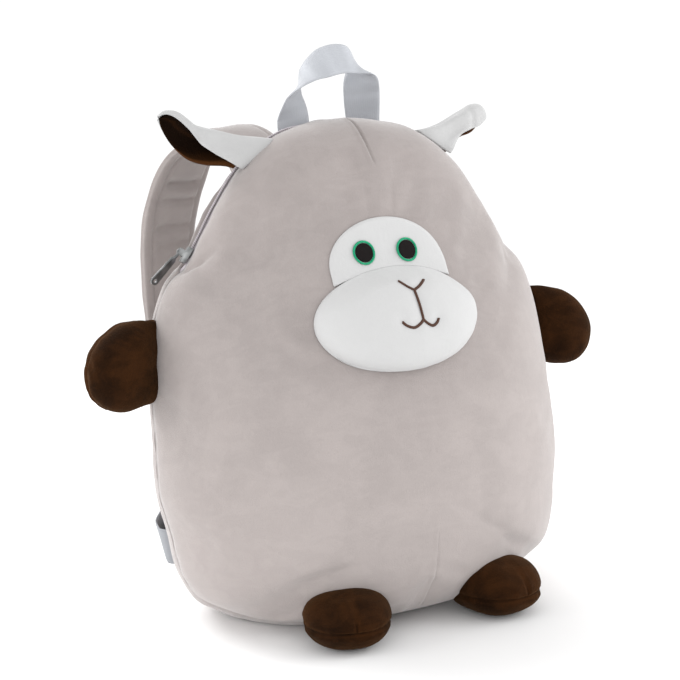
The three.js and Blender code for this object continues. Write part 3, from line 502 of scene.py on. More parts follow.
def dress(piece, material, instead=(), body="bag"):
    """Gives a piece its material, its body and the solids that it stands for.
    """
    piece.data.materials.clear()
    piece.data.materials.append(material)
    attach(piece, body)
    if instead:
        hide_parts(*instead)
    return piece


def rounded_section(sides, squareness):
    """Points round a section from -1 to 1: 2 is an ellipse, and more is boxier."""
    angle = 2 * np.pi * (np.arange(sides) + 0.5) / sides
    circle = np.stack([np.cos(angle), np.sin(angle)], axis=-1)
    return np.sign(circle) * np.abs(circle) ** (2 / squareness)


def band_frames(stations, widths):
    """The direction along, across and out of a band at each station."""
    along = unit(np.gradient(stations, axis=0))
    across = unit(widths - np.sum(widths * along, axis=1, keepdims=True) * along)
    return along, across, np.cross(along, across)


def route(rows, count):
    """Even stations on a smooth curve through rows of (place, direction of the width), in millimetres."""
    path = smooth_path([np.array(at) * 0.001 for at, width in rows])
    widths = smooth_path([width for at, width in rows])
    at = lengths_along(path)
    wanted = np.linspace(0, at[-1], count)
    return sampled(path, at, wanted), sampled(widths, at, wanted)


# Shader maths


class Wire:
    """A socket of a material. Python's operators add Math nodes to it."""

    def __init__(self, finish, socket):
        self.finish = finish
        self.socket = socket

    def math(self, operation, *operands):
        return self.finish.add("ShaderNodeMath", {"operation": operation}, dict(enumerate(operands)))

    def __add__(self, other):
        return self.math("ADD", self, other)

    __radd__ = __add__

    def __sub__(self, other):
        return self.math("SUBTRACT", self, other)

    def __rsub__(self, other):
        return self.math("SUBTRACT", other, self)

    def __mul__(self, other):
        return self.math("MULTIPLY", self, other)

    __rmul__ = __mul__

    def __pow__(self, other):
        return self.math("POWER", self, other)

    def sine(self):
        return self.math("SINE", self)

    def size(self):
        return self.math("ABSOLUTE", self)

    def between(self, low, high):
        """0 below low, 1 above high, smooth between."""
        inputs = {"Value": self, "From Min": low, "From Max": high}
        return self.finish.add("ShaderNodeMapRange", {"interpolation_type": "SMOOTHSTEP"}, inputs)


class Finish:
    """A material built from nodes. Its shader's sockets are given by name, with _ for a space."""

    def __init__(self, name, **sockets):
        self.material = bpy.data.materials.new(name)
        self.material.use_nodes = True
        self.tree = self.material.node_tree
        self.finish(**sockets)

    def finish(self, **sockets):
        for key, value in sockets.items():
            self.set(self.tree.nodes["Principled BSDF"].inputs[key.replace("_", " ")], value)
        return self.material

    def set(self, socket, value):
        if isinstance(value, Wire):
            self.tree.links.new(value.socket, socket)
        elif socket.type == "RGBA":
            socket.default_value = (*value, 1)
        else:
            socket.default_value = value

    def add(self, kind, settings, inputs, output=0):
        """One node with its settings, and values or wires for its inputs. Gives one of its outputs."""
        node = self.tree.nodes.new(kind)
        for key, value in settings.items():
            setattr(node, key, value)
        for key, value in inputs.items():
            self.set(node.inputs[key], value)
        return Wire(self, node.outputs[output])

    def places(self, source="Object"):
        return self.add("ShaderNodeTexCoord", {}, {}, source)

    def mapped(self, vector, scale, turn=(0, 0, 0)):
        return self.add("ShaderNodeMapping", {}, {"Vector": vector, "Scale": scale, "Rotation": turn})

    def noise(self, vector, scale, detail=2.0, roughness=0.5, distortion=0.0):
        inputs = {"Vector": vector, "Scale": scale, "Detail": detail, "Roughness": roughness}
        return self.add("ShaderNodeTexNoise", {}, {**inputs, "Distortion": distortion})

    def mix(self, share, first, second):
        return self.add("ShaderNodeMix", {"data_type": "RGBA"}, {0: share, 6: first, 7: second}, 2)

    def shades(self, share, colour, darkest, lightest):
        """A colour from its darkest shade to its lightest."""
        return self.mix(share, shade(colour, darkest), shade(colour, lightest))

    def part(self, vector, axis):
        return self.add("ShaderNodeSeparateXYZ", {}, {0: vector}, axis)

    def bump(self, height, distance, strength):
        return self.add("ShaderNodeBump", {}, {"Height": height, "Distance": distance, "Strength": strength})


def shade(colour, factor):
    return tuple(min(1.0, c * factor) for c in colour)


BROWN_SHEEN = (0.5, 0.26, 0.11)


def waves(wire, length):
    """A sine along a coordinate in metres."""
    return (wire * (2 * math.pi / length)).sine()


def plush(
    name, colour, pile=0.0009, depth=0.0004, brushed=0.06, sheen=0.5, tint=(1, 1, 1), lift=0.0, toned=0.0
):
    """Short-pile plush: tufts of pile, and broad patches where the pile was brushed another way.

    With a lift, painted light and shade make the cloth lighter towards the base and the right side and darker
    at the top. toned is how far the mesh's tone goes: its painted highlight and shade.
    """
    made = Finish(name, Sheen_Weight=sheen, Sheen_Roughness=0.42, Sheen_Tint=tint, Specular_IOR_Level=0.05)
    at = made.places()
    drift = made.noise(made.mapped(at, (1, 1, 0.8)), 21.0, 3.0, 0.55, 0.9)
    smears = made.noise(made.mapped(at, (0.55, 1.0, 1.3), (0.0, 0.5, 0.0)), 62.0, 2.0, 0.6, 1.4)
    streaks = made.noise(made.mapped(at, (1.0, 1.0, 0.3), (0.0, 0.35, 0.0)), 120.0, 3.0, 0.6, 0.4)
    tufts = made.noise(at, 1.0 / pile, 2.0, 0.65)
    fibres = made.noise(made.mapped(at, (1, 1, 0.35)), 2.6 / pile, 1.0, 0.6)
    patches = (drift.between(0.38, 0.62) - 0.5) * 0.9 + (streaks - 0.5) * 0.7
    patches = patches + (smears.between(0.4, 0.62) - 0.5) * 0.6
    value = (patches + (tufts - 0.5) * 0.9 + (fibres - 0.5) * 0.5) * brushed + 0.5
    # Painted light and shade: lighter towards the base and the right side, darker at the top.
    if lift:
        height = made.part(at, "Z")
        value = value + (0.5 - height.between(0.0, 0.27)) * lift - height.between(0.29, 0.335) * (lift * 0.25)
        value = value + made.part(at, "X").between(0.03, 0.15) * (lift * 0.4)
    # Painted highlight and shade, read from the mesh's tone attribute.
    if toned:
        value = value + made.add("ShaderNodeAttribute", {"attribute_name": "tone"}, {}, 2) * toned
    base = made.shades(value, colour, 0.5, 1.5 + toned)
    rough = 0.8 + drift.between(0.35, 0.65) * 0.12
    normal = made.bump(tufts * 0.65 + fibres * 0.35 + streaks * 0.8, depth, 0.8)
    return made.finish(Base_Color=base, Roughness=rough, Normal=normal)


def ear_lining(name, colour):
    """Brown plush inside the ears, with painted shade along the ear's fold, where the UV map's x is 0, and
    painted highlights on a line beside the fold and along the rims.
    """
    made = Finish(name, Sheen_Weight=0.06, Sheen_Roughness=0.5, Sheen_Tint=BROWN_SHEEN)
    made.finish(Specular_IOR_Level=0.05)
    at = made.places()
    across = made.part(made.places("UV"), "X")
    tufts = made.noise(at, 900.0, 2.0, 0.65)
    cloud = made.noise(at, 130.0, 3.0, 0.6)
    # Painted shade: darker towards the ear's fold, lighter towards its edges.
    painted_light_from_fold = (across.size() + (cloud - 0.5) * 0.3).between(0.3, 0.95)
    # Painted highlight: a lighter line beside the fold.
    fold = 1.0 - (across - 0.12 + (cloud - 0.5) * 0.15).size().between(0.0, 0.09)
    pile = made.shades(painted_light_from_fold + (tufts - 0.5) * 0.4 + fold * 0.35, colour, 0.22, 1.3)
    # Painted highlight along the rims.
    base = made.mix(across.size().between(0.84, 0.97), pile, shade(colour, 3.2))
    normal = made.bump(tufts + cloud, 0.0006, 0.8)
    return made.finish(Base_Color=base, Roughness=0.85 + cloud * 0.1, Normal=normal)


def fleece(name, colour):
    """White fleece of the face: finer and flatter than the plush."""
    made = Finish(name, Sheen_Weight=0.25, Sheen_Roughness=0.5, Specular_IOR_Level=0.15)
    at = made.places()
    nap = made.noise(at, 1500.0, 2.0, 0.6)
    knit = made.noise(made.mapped(at, (1, 1, 0.5)), 420.0, 2.0, 0.55)
    cloud = made.noise(at, 28.0)
    value = (nap - 0.5) * 0.05 + (knit - 0.5) * 0.04 + (cloud - 0.5) * 0.035 + 0.5
    base = made.shades(value, colour, 0.62, 1.38)
    rough = 0.88 + (cloud - 0.5) * 0.1
    return made.finish(Base_Color=base, Roughness=rough, Normal=made.bump(nap * 0.5 + knit, 0.00022, 0.7))


def webbing_cloth(name, colour):
    """Woven webbing. The UV map runs across it and along it in metres."""
    made = Finish(name, Sheen_Weight=0.12, Sheen_Roughness=0.3, Specular_IOR_Level=0.4)
    uv = made.places("UV")
    across = made.part(uv, "X")
    ribs = waves(across, 0.0015)
    picks = (made.part(uv, "Y") * (2 * math.pi / 0.0008) + ribs * 1.2).sine()
    weave = ribs * 0.65 + picks * 0.35
    edge = (across - WEBBING_WIDTH / 2).size().between(WEBBING_WIDTH * 0.44, WEBBING_WIDTH * 0.475)
    fuzz = made.noise(made.places(), 1700.0, 2.0, 0.6)
    # Painted sheen: soft lighter and darker bands along the webbing, in its colour.
    gloss = made.noise(made.mapped(uv, (3.0, 95.0, 1.0)), 1.0, 1.0)
    value = weave * 0.035 + (fuzz - 0.5) * 0.045 - edge * 0.05 + (gloss - 0.5) * 0.5 + 0.5
    base = made.shades(value, colour, 0.62, 1.38)
    rough = 0.58 + (fuzz - 0.5) * 0.2
    return made.finish(Base_Color=base, Roughness=rough, Normal=made.bump(weave + fuzz * 0.2, 0.00012, 0.5))


def tape_cloth(name, colour):
    """Flat woven zip tape with its fine ribs along it, undyed at its first end."""
    made = Finish(name, Specular_IOR_Level=0.3)
    uv = made.places("UV")
    along = made.part(uv, "Y")
    ribs = waves(made.part(uv, "X"), 0.0007)
    weave = ribs * 0.6 + waves(along, 0.0009) * ribs * 0.4
    fuzz = made.noise(made.places(), 1900.0, 2.0, 0.6)
    dyed = made.shades(weave * 0.1 + (fuzz - 0.5) * 0.15 + 0.5, colour, 0.6, 1.4)
    base = made.mix(along.between(UNDYED_END, UNDYED_END + 0.001), shade(colour, 2.1), dyed)
    return made.finish(Base_Color=base, Roughness=0.72 + fuzz * 0.12, Normal=made.bump(weave, 0.0002, 0.7))


def thread(name, colour, strand=0.00035, gloss=0.35):
    """Embroidery thread laid in satin stitches, across the UV map's first direction."""
    made = Finish(name, Specular_IOR_Level=gloss)
    strands = waves(made.part(made.places("UV"), "X"), strand)
    fuzz = made.noise(made.places(), 2400.0, 2.0, 0.6)
    base = made.shades(strands * 0.16 + (fuzz - 0.5) * 0.3 + 0.5, colour, 0.45, 1.55)
    normal = made.bump(strands + fuzz * 0.6, 0.0002, 0.8)
    return made.finish(Base_Color=base, Roughness=0.5 + fuzz * 0.2, Normal=normal)


def zip_metal(name, colour):
    """Plated zinc, a little rubbed."""
    made = Finish(name, Metallic=1.0)
    at = made.places()
    rub = made.noise(at, 170.0, 2.0, 0.5, 0.3)
    scuffs = made.noise(made.mapped(at, (1, 1, 6)), 1500.0, 2.0, 0.6)
    base = made.shades(rub.between(0.35, 0.7), colour, 0.7, 1.25)
    rough = 0.24 + rub * 0.18 + scuffs.between(0.55, 0.7) * 0.12
    normal = made.bump(rub * 0.6 + scuffs * 0.4, 0.00006, 0.6)
    return made.finish(Base_Color=base, Roughness=rough, Normal=normal)


def moulded_plastic(name, colour):
    """Satin moulded plastic with a fine spark texture."""
    made = Finish(name, Specular_IOR_Level=0.45)
    at = made.places()
    spark = made.noise(at, 2200.0, 2.0, 0.6)
    flow = made.noise(made.mapped(at, (1, 1, 0.3)), 90.0)
    base = made.shades((flow - 0.5) * 0.3 + (spark - 0.5) * 0.12 + 0.5, colour, 0.75, 1.25)
    return made.finish(Base_Color=base, Roughness=0.42 + spark * 0.2, Normal=made.bump(spark, 0.00008, 0.6))


def coil_plastic(name, colour):
    """Nylon of the zip's teeth."""
    made = Finish(name, Specular_IOR_Level=0.5)
    cloud = made.noise(made.places(), 700.0)
    base = made.shades(cloud, colour, 0.82, 1.15)
    return made.finish(Base_Color=base, Roughness=0.34 + cloud * 0.2, Normal=made.bump(cloud, 0.0001, 0.5))


def paper_floor(name, colour):
    """Studio paper with a painted shadow: greyer close to the bag's front."""
    made = Finish(name, Specular_IOR_Level=0.1)
    at = made.places()
    grain = made.noise(at, 40.0)
    # The painted shadow: greyer within about 0.19 m of a point under the bag's front.
    away = ((made.part(at, "X") - 0.005) ** 2 + (made.part(at, "Y") + 0.14) ** 2) ** 0.5
    base = made.shades(away.between(0.02, 0.19) + (grain - 0.5) * 0.01, colour, 0.78, 1.0)
    return made.finish(Base_Color=base, Roughness=0.9)


# What repeats along a line

# Each input's label, the kind of its socket and its unit.
BLOCK_INPUTS = (
    ("Geometry", "Geometry", None),
    ("Pitch", "Float", "DISTANCE"),
    ("Block Length", "Float", "DISTANCE"),
    ("Block Width", "Float", "DISTANCE"),
    ("Block Height", "Float", "DISTANCE"),
    ("Slant", "Float", "ANGLE"),
    ("Material", "Material", None),
)


def line_tree(name):
    """Geometry Nodes that set small rounded blocks along the lines of a mesh."""
    tree = bpy.data.node_groups.new(name, "GeometryNodeTree")
    for label, kind, unit_name in BLOCK_INPUTS:
        socket = tree.interface.new_socket(label, in_out="INPUT", socket_type="NodeSocket" + kind)
        if unit_name:
            socket.subtype = unit_name
    tree.interface.new_socket("Geometry", in_out="OUTPUT", socket_type="NodeSocketGeometry")

    def node(kind, inputs, **settings):
        """A node with its settings, and outputs or values for its inputs. Gives its own outputs."""
        made = tree.nodes.new(kind)
        for key, value in settings.items():
            setattr(made, key, value)
        for key, value in inputs.items():
            if isinstance(value, bpy.types.NodeSocket):
                tree.links.new(value, made.inputs[key])
            else:
                made.inputs[key].default_value = value
        return made.outputs

    given = node("NodeGroupInput", {})
    curve = node("GeometryNodeMeshToCurve", {0: given["Geometry"]})
    points = node("GeometryNodeCurveToPoints", {"Curve": curve[0], "Length": given["Pitch"]}, mode="LENGTH")
    outward = node("GeometryNodeInputNamedAttribute", {"Name": "outward"}, data_type="FLOAT_VECTOR")
    ahead = node("FunctionNodeAlignRotationToVector", {"Vector": points["Tangent"]}, axis="X")
    turns = {"Rotation": ahead[0], "Vector": outward["Attribute"]}
    upright = node("FunctionNodeAlignRotationToVector", turns, axis="Z", pivot_axis="X")
    slant = node("FunctionNodeAxisAngleToRotation", {"Axis": (0, 0, 1), "Angle": given["Slant"]})
    turns = {"Rotation": upright[0], "Rotate By": slant[0]}
    slanted = node("FunctionNodeRotateRotation", turns, rotation_space="LOCAL")
    lengths = {0: given["Block Length"], 1: given["Block Width"], 2: given["Block Height"]}
    block = node("GeometryNodeMeshCube", {"Size": node("ShaderNodeCombineXYZ", lengths)[0]})
    rounded = node("GeometryNodeSubdivisionSurface", {"Mesh": block["Mesh"], "Level": 1})
    softened = node("GeometryNodeSetShadeSmooth", {0: rounded[0]})
    places = {"Points": points["Points"], "Instance": softened[0], "Rotation": slanted[0]}
    real = node("GeometryNodeRealizeInstances", {0: node("GeometryNodeInstanceOnPoints", places)[0]})
    painted = node("GeometryNodeSetMaterial", {"Geometry": real[0], "Material": given["Material"]})
    node("NodeGroupOutput", {0: painted[0]})
    return tree


def along_lines(name, lines, outwards, material, pitch, block, slant=0.0):
    """Blocks along lines, each with its outward direction at each point, as one plain mesh.

    block is a block's length, width and height.
    """
    points = np.concatenate(lines)
    ends = np.cumsum([len(line) for line in lines]) - 1
    edges = [(i, i + 1) for i in range(len(points)) if i not in ends]
    mesh = bpy.data.meshes.new(name + "_lines")
    mesh.from_pydata(points.tolist(), edges, [])
    attribute = mesh.attributes.new("outward", "FLOAT_VECTOR", "POINT")
    attribute.data.foreach_set("vector", np.concatenate(outwards).astype(np.float32).ravel())
    carrier = new_object(name + "_lines", mesh)
    tree = bpy.data.node_groups.get("Blocks Along Lines") or line_tree("Blocks Along Lines")
    modifier = carrier.modifiers.new("Blocks", "NODES")
    modifier.node_group = tree
    sockets = {item.name: item.identifier for item in tree.interface.items_tree if item.in_out == "INPUT"}
    values = {"Pitch": pitch, "Slant": slant, "Material": material}
    values.update(zip(("Block Length", "Block Width", "Block Height"), block))
    for label, value in values.items():
        modifier[sockets[label]] = value
    bpy.context.view_layer.update()
    made = bpy.data.meshes.new_from_object(carrier.evaluated_get(bpy.context.evaluated_depsgraph_get()))
    made.name = name
    if "outward" in made.attributes:
        made.attributes.remove(made.attributes["outward"])
    piece = new_object(name, made)
    carrier.modifiers.clear()
    bpy.data.objects.remove(carrier)
    bpy.data.meshes.remove(mesh)
    return piece


# Sizes and colours


def colour_property(name, description, default):
    return FloatVectorProperty(name=name, description=description, subtype="COLOR", size=3, default=default)


def length_property(name, description, default):
    return FloatProperty(name=name, description=description, default=default, unit="LENGTH")


class BackpackColours(bpy.types.PropertyGroup):
    """The cloths' and threads' colours."""

    plush: colour_property("Plush", "Body and straps", (0.350, 0.313, 0.302))
    face: colour_property("Face", "Face, muzzle and ears", (0.50, 0.50, 0.50))
    brown: colour_property("Brown", "Arms, feet and ear linings", (0.0178, 0.0065, 0.0019))
    ring: colour_property("Eye Ring", "Thread round the eyes", (0.012, 0.43, 0.205))
    pupil: colour_property("Pupil", "Dark thread of the eyes", (0.010, 0.007, 0.007))
    mouth: colour_property("Mouth", "Thread of the nose and mouth", (0.062, 0.023, 0.011))
    webbing: colour_property("Webbing", "Handle and lower webbing", (0.42, 0.435, 0.465))
    tape: colour_property("Zip Tape", "Tape and teeth of the zip", (0.36, 0.33, 0.35))
    metal: colour_property("Zip Metal", "Slider and pull", (0.20, 0.205, 0.205))
    plastic: colour_property("Adjuster", "Moulded adjusters", (0.33, 0.32, 0.31))


class BackpackSizes(bpy.types.PropertyGroup):
    """Depths of the seams and creases, and how fine the meshes are."""

    seam_depth: length_property("Seam Depth", "How far a seam draws the plush in", 0.0006)
    pucker: length_property("Pucker", "Height of the small folds beside a seam", 0.0004)
    fold_height: FloatProperty(
        name="Fold Height",
        description="Share of the simulated folds that is kept",
        default=1.0,
        subtype="FACTOR",
    )
    slack: length_property("Slack", "Height of the broad dents in the panels", 0.0011)
    dart_depth: length_property("Dart Depth", "Depth of the darts in the front", 0.0019)
    columns: IntProperty(
        name="Columns",
        description="Columns of the body's meshes",
        default=420,
        min=120,
        max=600,
    )
    tooth_pitch: length_property("Tooth Pitch", "Distance between the zip's teeth", 0.0014)
    stitch_pitch: length_property("Stitch Pitch", "Distance between stitches of a sewn line", 0.0032)
    floor: length_property("Floor", "Half the width of the floor", 6.0)


BROWN_PILE = {
    "pile": 0.0010,
    "depth": 0.0007,
    "brushed": 0.5,
    "sheen": 0.14,
    "tint": BROWN_SHEEN,
    # How far the painted highlight and shade in the mesh's tone goes.
    "toned": 0.5,
}
# Each finish's function, name, colour, how much lighter than that colour it is, and its own settings.
FINISHES = {
    # The grey plush gets painted light and shade through its lift.
    "plush": (plush, "plush_grey", "plush", 1.0, {"lift": 0.2}),
    "fleece": (fleece, "fleece_white", "face", 1.0, {}),
    # The ears' fleece is the face's, darkened as painted shade.
    "ear": (fleece, "fleece_ear", "face", 0.87, {}),
    "lining": (ear_lining, "plush_ear_lining", "brown", 1.0, {}),
    "brown": (plush, "plush_brown", "brown", 1.0, BROWN_PILE),
    "ring": (thread, "thread_green", "ring", 1.0, {}),
    "pupil": (thread, "thread_black", "pupil", 1.0, {"strand": 0.0005, "gloss": 0.12}),
    "mouth": (thread, "thread_brown", "mouth", 1.0, {}),
    "seam": (thread, "thread_grey", "plush", 0.9, {}),
    "webbing": (webbing_cloth, "webbing_grey", "webbing", 1.0, {}),
    # The lower webbing is the handle's, darkened as painted shade.
    "low_webbing": (webbing_cloth, "webbing_low", "webbing", 0.72, {}),
    "tape": (tape_cloth, "zip_tape_cloth", "tape", 1.0, {}),
    "teeth": (coil_plastic, "zip_teeth_nylon", "tape", 1.25, {}),
    "metal": (zip_metal, "zip_metal", "metal", 1.0, {}),
    "plastic": (moulded_plastic, "adjuster_plastic", "plastic", 1.0, {}),
}
finishes = {}


def cloth_of(kind):
    """Each finish is made once, from the scene's colours."""
    if kind not in finishes:
        maker, name, colour, factor, settings = FINISHES[kind]
        base = getattr(bpy.context.scene.backpack_colours, colour)
        finishes[kind] = maker(name, shade(base, factor), **settings)
    return finishes[kind]


# Body

# The darts, the fold at the zip's end and the swelling below it, as lines on the front in x and z.
TOP_DART = [
    (-0.0002, 0.3294),
    (-0.0006, 0.3270),
    (-0.0012, 0.3226),
    (-0.0016, 0.3162),
    (-0.0014, 0.3090),
    (0.0004, 0.2971),
]
BOTTOM_DART = [
    (0.0024, 0.0100),
    (0.0026, 0.0205),
    (0.0034, 0.0332),
    (0.0039, 0.0485),
    (0.0047, 0.0620),
    (0.0058, 0.0785),
]
ZIP_FOLD = [(-0.1205, 0.2380), (-0.1141, 0.2424), (-0.1047, 0.2497), (-0.0970, 0.2550)]
ZIP_SWELLING = [(-0.122, 0.226), (-0.104, 0.236)]
PANEL_PRESSURE, PANEL_SLACK, PANEL_BENDING = 1.5, 0.012, 1.2
LEAST_COLUMN_STEP = 0.00038


def on_front(line):
    """A line on the front from its x and z."""
    places = flat_line(line, 40)
    places[:, 1] = front_depth(places[:, 0], places[:, 2])
    return places


def rolled(depth, distance):
    """How far a panel turns in towards a seam at a distance from it."""
    return depth * np.exp(-distance / 0.0035)


def slot_share(shares):
    """How open the zip's slot is along the seam: it closes just beyond the zip's ends."""
    from_top = np.minimum(np.abs(shares), np.abs(1 - shares))
    return 1 - ramp(from_top, zip_end - 1e-4, zip_end + 0.005)


def row_distance(grid):
    """Distance along each column from the first row."""
    steps = np.linalg.norm(np.diff(grid, axis=0), axis=-1)
    return np.vstack([np.zeros((1, grid.shape[1])), np.cumsum(steps, axis=0)])


def body_columns(count):
    """Shares round the seam, denser at the zip's ends and at the darts."""
    even = np.arange(count) / count
    ends = np.linspace(-0.008, 0.008, 17)
    darts = np.linspace(-0.014, 0.014, 57)
    near = np.concatenate([zip_end + ends, 1 - zip_end + ends, 1 - np.abs(darts), np.abs(darts), 0.5 + darts])
    shares = np.unique(np.round(np.concatenate([even, near]) % 1, 5))
    kept = [shares[0]]
    for share in shares[1:]:
        if share - kept[-1] > LEAST_COLUMN_STEP:
            kept.append(share)
    return np.array(kept)


def panel_folds(coarse, sewn, broad_passes, cap, broad):
    """The folds of a panel of the body, from its cloth simulation."""
    sewn[0] = 1
    moved = settled(coarse, sewn, BODY_MIDDLE, PANEL_PRESSURE, PANEL_SLACK, PANEL_BENDING)
    return wrinkles(moved, broad_passes, cap, broad)


def dart_push(front, dart_depth):
    """How the darts draw the front in, each with a fold beside it and the cloth raised at its end."""
    push = np.zeros(front.shape[:2])
    for line, share, pinch in ((TOP_DART, 1.0, 0.25), (BOTTOM_DART, 0.45, 0.7)):
        gap, along, side_of = distance_to_line(front, on_front(line))
        tail = 1 - ramp(along, 0.86, 1.0)
        beyond = hump(gap, 0.013) * ramp(along, 0.55, 1.0)
        groove = -0.8 * hump(gap, 0.0009) - 0.22 * hump(gap, 0.006)
        fold = 0.3 * hump(gap * np.where(side_of < 0, 1, 9) - 0.0023, 0.0017)
        raised = pinch * hump(gap, 0.0013) * ramp(along, 0.5, 0.8) * tail
        push += dart_depth * share * ((groove + fold) * tail + raised + 0.3 * beyond)
    return push


def zip_end_push(front):
    """The fold that runs in from the zip's left end, and the swelling below it."""
    gap, along, _ = distance_to_line(front, on_front(ZIP_FOLD))
    below, _, _ = distance_to_line(front, on_front(ZIP_SWELLING))
    crease = 0.0020 * hump(gap, 0.0022) * (1 - ramp(along, 0.35, 1.0))
    hollow = 0.0014 * hump(gap, 0.009) * (1 - ramp(along, 0.5, 1.0))
    return 0.0016 * hump(below, 0.011) - crease - hollow


def front_panel(seam, sizes):
    """The front with its darts and folds, hollow behind its padding. It is sewn down under the face."""
    columns = np.arange(176) / 176
    rows = np.linspace(0, 1, 44)[:-1] ** 1.15
    coarse = front_points(Seam(columns), rows)
    sewn = 1 - ramp(np.hypot(coarse[..., 0] / 0.066, (coarse[..., 2] - 0.213) / 0.056), 0.85, 1.0)
    calm = 1 - ramp(rows, 0.35, 0.75)[:, None] * 0.8
    folds = panel_folds(coarse, sewn, 50, 0.0021, 0.2) * (1 - sewn) * calm

    reaches = np.linspace(0, 1, 96)[:-1] ** 1.5
    front = front_points(seam, reaches)
    edge = row_distance(front)
    x, z = front[..., 0], front[..., 2]
    face = ramp(np.hypot(x / 0.068, (z - 0.212) / 0.058), 0.85, 1.25)
    push = -rolled(sizes.seam_depth * 0.5, edge)
    push += sizes.pucker * lumps(front, 0.011, 3) * np.exp(-edge / 0.008)
    push += sizes.slack * face * ramp(edge, 0.004, 0.03) * lumps(front, 0.075, 1)
    push += sizes.fold_height * blurred(resampled(folds, rows, columns, reaches, seam.u), 3)
    push += dart_push(front, sizes.dart_depth) + zip_end_push(front)
    push += 0.0017 * np.exp(-edge / 0.012) * ramp(z, 0.316, 0.327) * ramp(x, -0.045, -0.02)
    front = front + grid_normals(front, BODY_MIDDLE) * push[..., None]
    inner = front_points(seam, np.linspace(0, 1, 18)[:-1] ** 1.3, FABRIC_WALL, FRONT_PADDING)
    lip = front_points(seam, [0.0], FABRIC_WALL * 0.45)
    lip[..., 1] = front[:1, :, 1]
    piece = skin("plush_front", np.concatenate([front[::-1], lip, inner]))
    dress(piece, cloth_of("plush"), ["front_panel"])


def side_panel(seam, sizes):
    """The fabric round the sides and under the bag. It leaves the zip's slot open and stays on the floor."""
    first = (SEAM_GAP + (ZIP_SLOT - SEAM_GAP) * slot_share(seam.u)) / seam.depth
    last = 1 - SEAM_GAP / seam.depth
    steps = (1 - np.cos(np.linspace(0, np.pi, 44))) / 2
    shares = first + (last - first) * steps[:, None]
    side = side_points(seam, shares)
    edge = row_distance(side)
    edge = np.minimum(edge, edge[-1:] - edge)
    push = -rolled(sizes.seam_depth * 0.4, edge)
    push += sizes.pucker * 1.3 * lumps(side, 0.010, 5) * np.exp(-edge / 0.009)
    push += sizes.slack * lumps(side, 0.045, 6) * ramp(edge, 0.002, 0.02)
    push *= ramp(side[..., 2], 0.0005, 0.008)
    push += 0.0034 * ramp(-side[..., 0], 0.05, 0.08) * hump(side[..., 2] - 0.268, 0.028)
    side = side + seam.out * push[..., None]
    side[..., 2] = np.maximum(side[..., 2], 0.0)
    inner = side_points(seam, shares[[0, 8, 22, 35, -1]][::-1], FABRIC_WALL)
    piece = skin("plush_side", np.concatenate([side, inner]), loop=True)
    dress(piece, cloth_of("plush"), ["side_gusset"])


def back_panel(seam, sizes):
    """The padded back, sewn in at its rim."""
    rows = np.linspace(0, 1, 26)[:-1]
    columns = np.arange(120) / 120
    coarse = back_points(Seam(columns), rows)
    folds = panel_folds(coarse, np.zeros(coarse.shape[:2]), 25, 0.0015, 0.0)

    reaches = np.linspace(0, 1, 56)[:-1] ** 1.25
    back = back_points(seam, reaches)
    edge = row_distance(back)
    push = -rolled(sizes.seam_depth, edge)
    push += sizes.pucker * lumps(back, 0.011, 7) * np.exp(-edge / 0.009)
    push += sizes.slack * 0.5 * lumps(back, 0.06, 8) * ramp(edge, 0.004, 0.03)
    push += sizes.fold_height * blurred(resampled(folds, rows, columns, reaches, seam.u), 3)
    back[..., 1] += push
    inner = back_points(seam, np.linspace(0, 1, 12)[:-1], FABRIC_WALL, BACK_PADDING)
    piece = skin("plush_back", np.concatenate([back[::-1], inner]))
    dress(piece, cloth_of("plush"), ["back_panel"])


class BACKPACK_OT_body(bpy.types.Operator):
    """Makes the front, side and back panels of plush"""

    bl_idname = "backpack.body"
    bl_label = "Plush Body"

    def execute(self, context):
        sizes = context.scene.backpack_sizes
        seam = Seam(body_columns(sizes.columns))
        front_panel(seam, sizes)
        side_panel(seam, sizes)
        back_panel(seam, sizes)
        return {"FINISHED"}


# Zip

PULL_TWIST = 60
UNDYED_END = 0.013
TAPE_BEYOND_ZIP = 0.0042
CHAIN_BEHIND = ZIP_SLOT / 2 - SEAM_GAP
CHAIN_HALF_GAP, CHAIN_RISE = 0.0011, 0.0013
TOOTH = (0.0010, 0.0030, 0.0021)


def twisted(places, degrees):
    """Points turned about their long axis: not at all at the top, and in full from the middle down."""
    middle = places.mean(axis=0)
    axis = np.linalg.svd(places - middle)[2][0]
    axis = axis * -np.sign(axis[2])
    along = (places - middle) @ axis
    share = (along - along.min()) / (along.max() - along.min())
    angle = np.radians(degrees) * ramp(share, 0.16, 0.42)
    plate = places[share > 0.6].mean(axis=0)
    across = places - plate - ((places - plate) @ axis)[:, None] * axis
    around = across * np.cos(angle)[:, None] + np.cross(axis, across) * np.sin(angle)[:, None]
    return places - across + around


def cast_copy(name, node, width, twist=0.0):
    """A merged copy of a hard CAD piece with its edges rounded."""
    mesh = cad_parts[node].data.copy()
    work = bmesh.new()
    work.from_mesh(mesh)
    bmesh.ops.remove_doubles(work, verts=work.verts, dist=1e-6)
    bmesh.ops.dissolve_limit(work, angle_limit=math.radians(4), verts=work.verts, edges=work.edges)
    work.to_mesh(mesh)
    work.free()
    mesh.name = name
    if twist:
        places = np.empty(len(mesh.vertices) * 3)
        mesh.vertices.foreach_get("co", places)
        mesh.vertices.foreach_set("co", twisted(places.reshape(-1, 3), twist).ravel())
    mesh.polygons.foreach_set("use_smooth", [True] * len(mesh.polygons))
    piece = new_object(name, mesh)
    bevel = piece.modifiers.new("Rounded", "BEVEL")
    bevel.width = width
    bevel.segments = 2
    bevel.limit_method = "ANGLE"
    bevel.angle_limit = math.radians(40)
    bevel.harden_normals = True
    return piece


